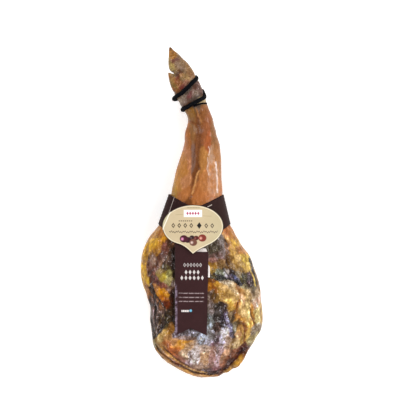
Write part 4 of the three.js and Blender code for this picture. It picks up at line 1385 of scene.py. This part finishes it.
def makeStripCard():
    card, colour = brownCard("strip_card", stripInk["card"])
    for *row, amount in stripInk["diamonds"]:
        colour = card.ink(colour, card.lozenges(*row) * amount, stripInk["pale"])
    lines = stripInk["lines"]
    for level in lines["levels"]:
        broken = card.dashes(lines["x"], level, *lines["dashes"]) * card.noise(1.6, 1.0).above(0.36, 0.5)
        colour = card.ink(colour, broken * lines["amount"], lines["tone"])
    colour = card.ink(colour, card.dashes(*stripInk["mark"]), stripInk["pale"])
    dot, worn = stripInk["dot"], stripInk["worn"]
    colour = card.ink(colour, card.distance(*dot["place"]).above(*dot["radii"]), dot["tone"])
    # painted highlight along the curled-up left edge, broken up by a noise
    edge = card.within(card.x, *worn["x"]) * card.within(card.y, *worn["y"])
    edge = edge * card.noise(7, 4.0, 0.7).above(0.36, 0.6)
    card.set(BaseColor=card.ink(colour, edge * worn["amount"], worn["tone"]))
    return card.data


def makeMedallionCard():
    card, ink = Printed("medallion_card", SpecularIORLevel=0.3, Roughness=0.42), medallionInk
    colour = card.mix(card.noise(30, 2.0), paint(ink["cream"][0]), paint(ink["cream"][1]))
    shade, label = ink["shade"], ink["label"]
    colour = card.ink(colour, card.x.above(shade["from"], shade["to"]) * shade["amount"], shade["tone"])
    for slope, level, middle, half in ink["rules"]:
        rule = card.within(card.y + card.x * slope, level, ink["ruleHalf"], 0.3)
        rule = rule * card.within(card.x, middle, half)
        colour = card.ink(colour, rule * ink["ruleAmount"], ink["ruleTone"])
    colour = card.ink(colour, card.box(*label["box"]), label["paper"])
    colour = card.ink(colour, card.lozenges(*label["diamonds"]), label["tone"])
    for *row, amount, tone in ink["dashes"]:
        colour = card.ink(colour, card.dashes(*row) * amount, tone)
    for row in ink["ornament"]:
        colour = card.ink(colour, card.lozenges(*row), ink["ink"])
    colour = card.ink(colour, card.lozenges(*ink["middle"]), ink["middleTone"])
    wave = card.y
    for turn, height in ink["waves"]:
        wave = wave + card.maths("SINE", card.x * turn) * height
    halfHigh, halfLong = ink["waveHalf"]
    line = card.within(wave, ink["waveLevel"], halfHigh, 0.4) * card.within(card.x, 1, halfLong)
    colour = card.ink(colour, line * ink["waveAmount"], ink["ink"])
    for x, y, size, tone, shine in ink["nuts"]:
        outside, inside = ink["nutEdge"]
        spot = card.distance(x, y, ink["nutStretch"]).above(size + outside, size + inside)
        shineX, shineY = x - size * ink["shineAt"][0], y - size * ink["shineAt"][1]
        glow = card.distance(shineX, shineY).above(size * ink["shineSize"], 0.0)
        colour = card.mix(spot, colour, card.mix(glow, paint(tone), paint(shine)))
    rim, fold = card.read("rim"), card.read("fold")
    edge, light = ink["rim"], ink["rimLight"]
    amount = rim.above(*light["outer"]) * rim.above(*light["inner"]) * light["amount"]
    colour = card.ink(colour, amount, light["tone"])
    # the dark rim: a printed edge, and partly painted shadow round the card
    colour = card.ink(colour, rim.above(*edge["edge"]), edge["tone"])
    edge, light = ink["foldShade"], ink["foldLight"]
    colour = card.ink(colour, fold.above(*edge["edge"]) * edge["amount"], edge["tone"])
    amount = fold.above(*light["outer"]) * fold.above(*light["inner"]) * light["amount"]
    colour = card.ink(colour, amount, light["tone"])
    card.set(BaseColor=colour, Normal=card.bump(card.noise(1.6, 3.0), 0.08, 0.4))
    return card.data


def makeSlipPaper():
    paper = Material("white_paper", Roughness=0.6, SpecularIORLevel=0.3)
    dark, light = slipShape["paper"]
    paper.set(BaseColor=paper.mix(paper.noise(6, 3.0), paint(dark), paint(light)))
    return paper.data


def cardFrom(name, surface, front, back, flat, thickness, disc=False):
    # A grid of points as a thin sheet whose thickness lies below it, with a plain back and a plain cut edge.
    # In a disc the first ring is one point, which is kept once, and the quads on it become triangles.
    rows, columns = surface.shape[:2]
    points, flat = surface.reshape(-1, 3), flat.reshape(-1, 2)
    faces = gridFaces(rows, columns, wrap=disc).tolist()
    if disc:
        points, flat = discValues(points, columns), discValues(flat, columns)
        faces = [list(dict.fromkeys(max(0, corner - columns + 1) for corner in face)) for face in faces]
    mesh = meshFrom(name, points, faces)
    corners = np.empty(len(mesh.loops), dtype=np.int64)
    mesh.loops.foreach_get("vertex_index", corners)
    mesh.uv_layers.new(name="print").data.foreach_set("uv", (flat[corners] / printUnit).ravel())
    card = objectFrom(name, mesh, front, back)
    solid = card.modifiers.new("thickness", "SOLIDIFY")
    solid.thickness, solid.offset = thickness * mm, -1
    solid.material_offset = solid.material_offset_rim = 1
    return card


def discValues(values, columns):                 # one value for the middle, then those of the other rings
    return np.concatenate([values[:1], values[columns:]])


def gridShares(shape):                           # how far down each row is and how far across each column
    rows, columns = shape["grid"]
    return np.linspace(0, 1, rows)[:, None], np.linspace(0, 1, columns)[None]


def makeBand(back):
    # Straight rulings from its top edge to its bottom edge, each edge a distance off the skin. Its front
    # edges fall in a V, and it stands off more about the fold.
    shape = bandShape
    down, across = gridShares(shape)
    lap = np.radians(shape["lap"])
    angle = -np.pi / 2 + lap / 2 - (2 * np.pi + lap) * (1 - across)
    fall = np.where(np.sin(angle) > 0, 1 - np.abs(np.cos(angle)), 0)
    fromFold = (np.degrees(angle) + 360) % 360 - shape["foldAngle"]
    folded = np.exp(-np.abs(fromFold) / shape["foldReach"])
    clear = shape["clearance"] + shape["lapStep"] * (1 - across)
    topY, bottomY = shape["topY"] - shape["topFall"] * fall, shape["bottomY"] - shape["bottomFall"] * fall
    top = offSkin(topY, angle, clear + shape["foldTop"] * folded)
    bottom = offSkin(bottomY, angle, clear + shape["foldBottom"] * folded)
    flat = np.broadcast_arrays(fromFold * shape["printPerDegree"], shape["printHeight"] * (1 - down))
    return cardFrom("neck_card_band", mixed(top, bottom, down[..., None]), makeBandCard(), back,
                    np.stack(flat, axis=-1), cardStock["thickness"])


def makeStrip(back):
    # It lies on the meat, with its lower left edge curled up, and ends in a swallow tail.
    shape = stripShape
    down, across = gridShares(shape)
    x = mixed(shape["left"], shape["right"] - shape["taper"] * down, across)
    top = mixed(shape["topLeftY"], shape["topRightY"], smooth(shape["topBend"] * across))
    bottom = shape["bottomY"] + shape["notch"] * (1 - np.abs(2 * across - 1))
    y = mixed(top, bottom, down)
    curl = shape["curl"] * smooth((shape["curlFrom"] - y) / shape["curlOver"])
    curl = curl * (1 - across) ** shape["curlPower"]
    waveHeight, waveLength = shape["wave"]
    footLift, footFrom, footOver = shape["footLift"]
    lift = shape["clearance"] + curl + waveHeight * np.sin(y / waveLength) * across
    lift = lift + footLift * smooth((footFrom - y) / footOver)
    surface = np.stack([x, y, hamTop(x, y) + lift], axis=-1)[::-1]
    return cardFrom("hanging_card_strip", surface, makeStripCard(), back, surface[..., :2],
                    cardStock["thickness"])


def makeMedallion(back):
    # Rings from its middle to a rim that is an ellipse, drawn down to a point below. Its sides bend down by
    # the square of the way out, and on one side of a straight fold by a slope more.
    shape = medallionShape
    rings, columns = shape["grid"]
    centreX, centreY = shape["centre"]
    ring = np.linspace(0, 1, rings)[:, None]
    angle = -np.linspace(0, 2 * np.pi, columns, endpoint=False)[None] - np.pi / 2
    rimX = shape["halfWidth"] * np.cos(angle)
    cutDepth, cutX, cutWidth = shape["leftCut"]
    drawn = shape["point"] * np.clip(1 - np.abs(rimX) / shape["pointHalfWidth"], 0, 1) ** 3
    drawn = drawn - cutDepth * bell((rimX - cutX) / cutWidth)
    rimY = shape["halfHeight"] * np.sin(angle) - drawn * (np.sin(angle) < 0)
    x, y = ring * rimX, ring * rimY
    (fromX, fromY), (toX, toY) = shape["foldFrom"], shape["foldTo"]
    beyond = ((x - fromX) * (toY - fromY) - (y - fromY) * (toX - fromX)) / np.hypot(toX - fromX, toY - fromY)
    z = hamTop(0 * x + centreX, y + centreY) + shape["rise"] - shape["bend"] * (x / shape["halfWidth"]) ** 2
    surface = np.stack([x + centreX, y + centreY, z - shape["foldDrop"] * np.clip(beyond, 0, None)], axis=-1)
    card = cardFrom("medallion_card", surface, makeMedallionCard(), back, np.stack([x, y], axis=-1),
                    cardStock["thickness"], disc=True)
    for name, values in (("rim", np.hypot(rimX, rimY) * (1 - ring)), ("fold", -beyond)):
        attribute = card.data.attributes.new(name, "FLOAT", "POINT")
        attribute.data.foreach_set("value", discValues(values.ravel(), columns))
    return card


def makeSlip(back):
    # A little askew behind the strip: its right edge steps out below, and its top corner is cut away.
    shape = slipShape
    down, across = gridShares(shape)
    y = mixed(shape["topY"], shape["bottomY"], down + 0 * across)
    stepY, stepOver = shape["step"]
    cut, sharpness = shape["corner"]
    right = mixed(shape["topRight"], shape["bottomRight"], smooth((stepY - y) / stepOver + 0.5))
    x = mixed(shape["left"], right - cut * (1 - down) ** sharpness, across)
    surface = np.stack([x, y, hamTop(x, y) + shape["clearance"]], axis=-1)[::-1]
    return cardFrom("white_slip", surface, makeSlipPaper(), back, surface[..., :2], cardStock["paper"])


cardBack = makeCardBack()
band = makeBand(cardBack)
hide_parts("neck_band")
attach(band, "root")
strip = makeStrip(cardBack)
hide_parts("front_strip")
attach(strip, "root")
medallion = makeMedallion(cardBack)
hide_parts("medallion")
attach(medallion, "root")
slip = makeSlip(cardBack)
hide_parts("paper_slip")
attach(slip, "root")
print("cards made")


# Floor and light.

floorShape = {"flat": 4500, "bend": 1500, "wall": 2500, "drop": 0.5, "hub": 1, "bendSteps": 17, "sides": 96}
softboxAim = (0, -0.05, 0.05)
softboxes = [                   # name, place, size, power
    ("right", (1.5, 0.5, 1.5), (0.9, 1.4), 23),
    ("top", (-0.5, 1.7, 1.9), (1.6, 0.8), 17),
    ("foot", (0.1, -1.6, 1.5), (1.0, 0.6), 11),
    ("left", (-1.8, -0.2, 1.4), (0.6, 1.2), 7),
]
worldLight = 0.25


def makeFloor():
    # A round floor whose rim bends up, by a quarter circle, into a wall all the way round.
    bend = np.linspace(0, np.pi / 2, floorShape["bendSteps"])
    radius = np.concatenate([[floorShape["hub"]], floorShape["flat"] + floorShape["bend"] * np.sin(bend)])
    rise = np.concatenate([[0], floorShape["bend"] * (1 - np.cos(bend))])
    radius = np.append(radius, radius[-1])[:, None]
    rise = np.append(rise, rise[-1] + floorShape["wall"])[:, None]
    angle = np.linspace(0, 2 * np.pi, floorShape["sides"], endpoint=False)[None]
    points = np.stack(np.broadcast_arrays(radius * np.cos(angle), radius * np.sin(angle),
                                          rise - floorShape["drop"]), axis=-1)
    faces = gridFaces(*points.shape[:2], wrap=True)[:, ::-1].tolist() + [list(range(floorShape["sides"]))]
    pale = Material("pale_floor", BaseColor=(0.92, 0.92, 0.92), Roughness=0.8, SpecularIORLevel=0.1,
                    EmissionColor=(1, 1, 1), EmissionStrength=0.42)
    return objectFrom("floor", meshFrom("floor", points.reshape(-1, 3), faces), pale.data)


floor = makeFloor()

for name, place, size, power in softboxes:
    light = bpy.data.lights.new("softbox_" + name, "AREA")
    light.shape, light.size, light.size_y, light.energy = "RECTANGLE", *size, power
    softbox = bpy.data.objects.new("softbox_" + name, light)
    softbox.location = place
    softbox.rotation_euler = (Vector(softboxAim) - Vector(place)).to_track_quat("-Z", "Y").to_euler()
    bpy.context.collection.objects.link(softbox)

world = bpy.data.worlds.new("studio")
world.use_nodes = True
world.node_tree.nodes["Background"].inputs["Color"].default_value = (1, 1, 1, 1)
world.node_tree.nodes["Background"].inputs["Strength"].default_value = worldLight
bpy.context.scene.world = world
bpy.context.scene.view_settings.view_transform = "Standard"
print("floor and lights made")
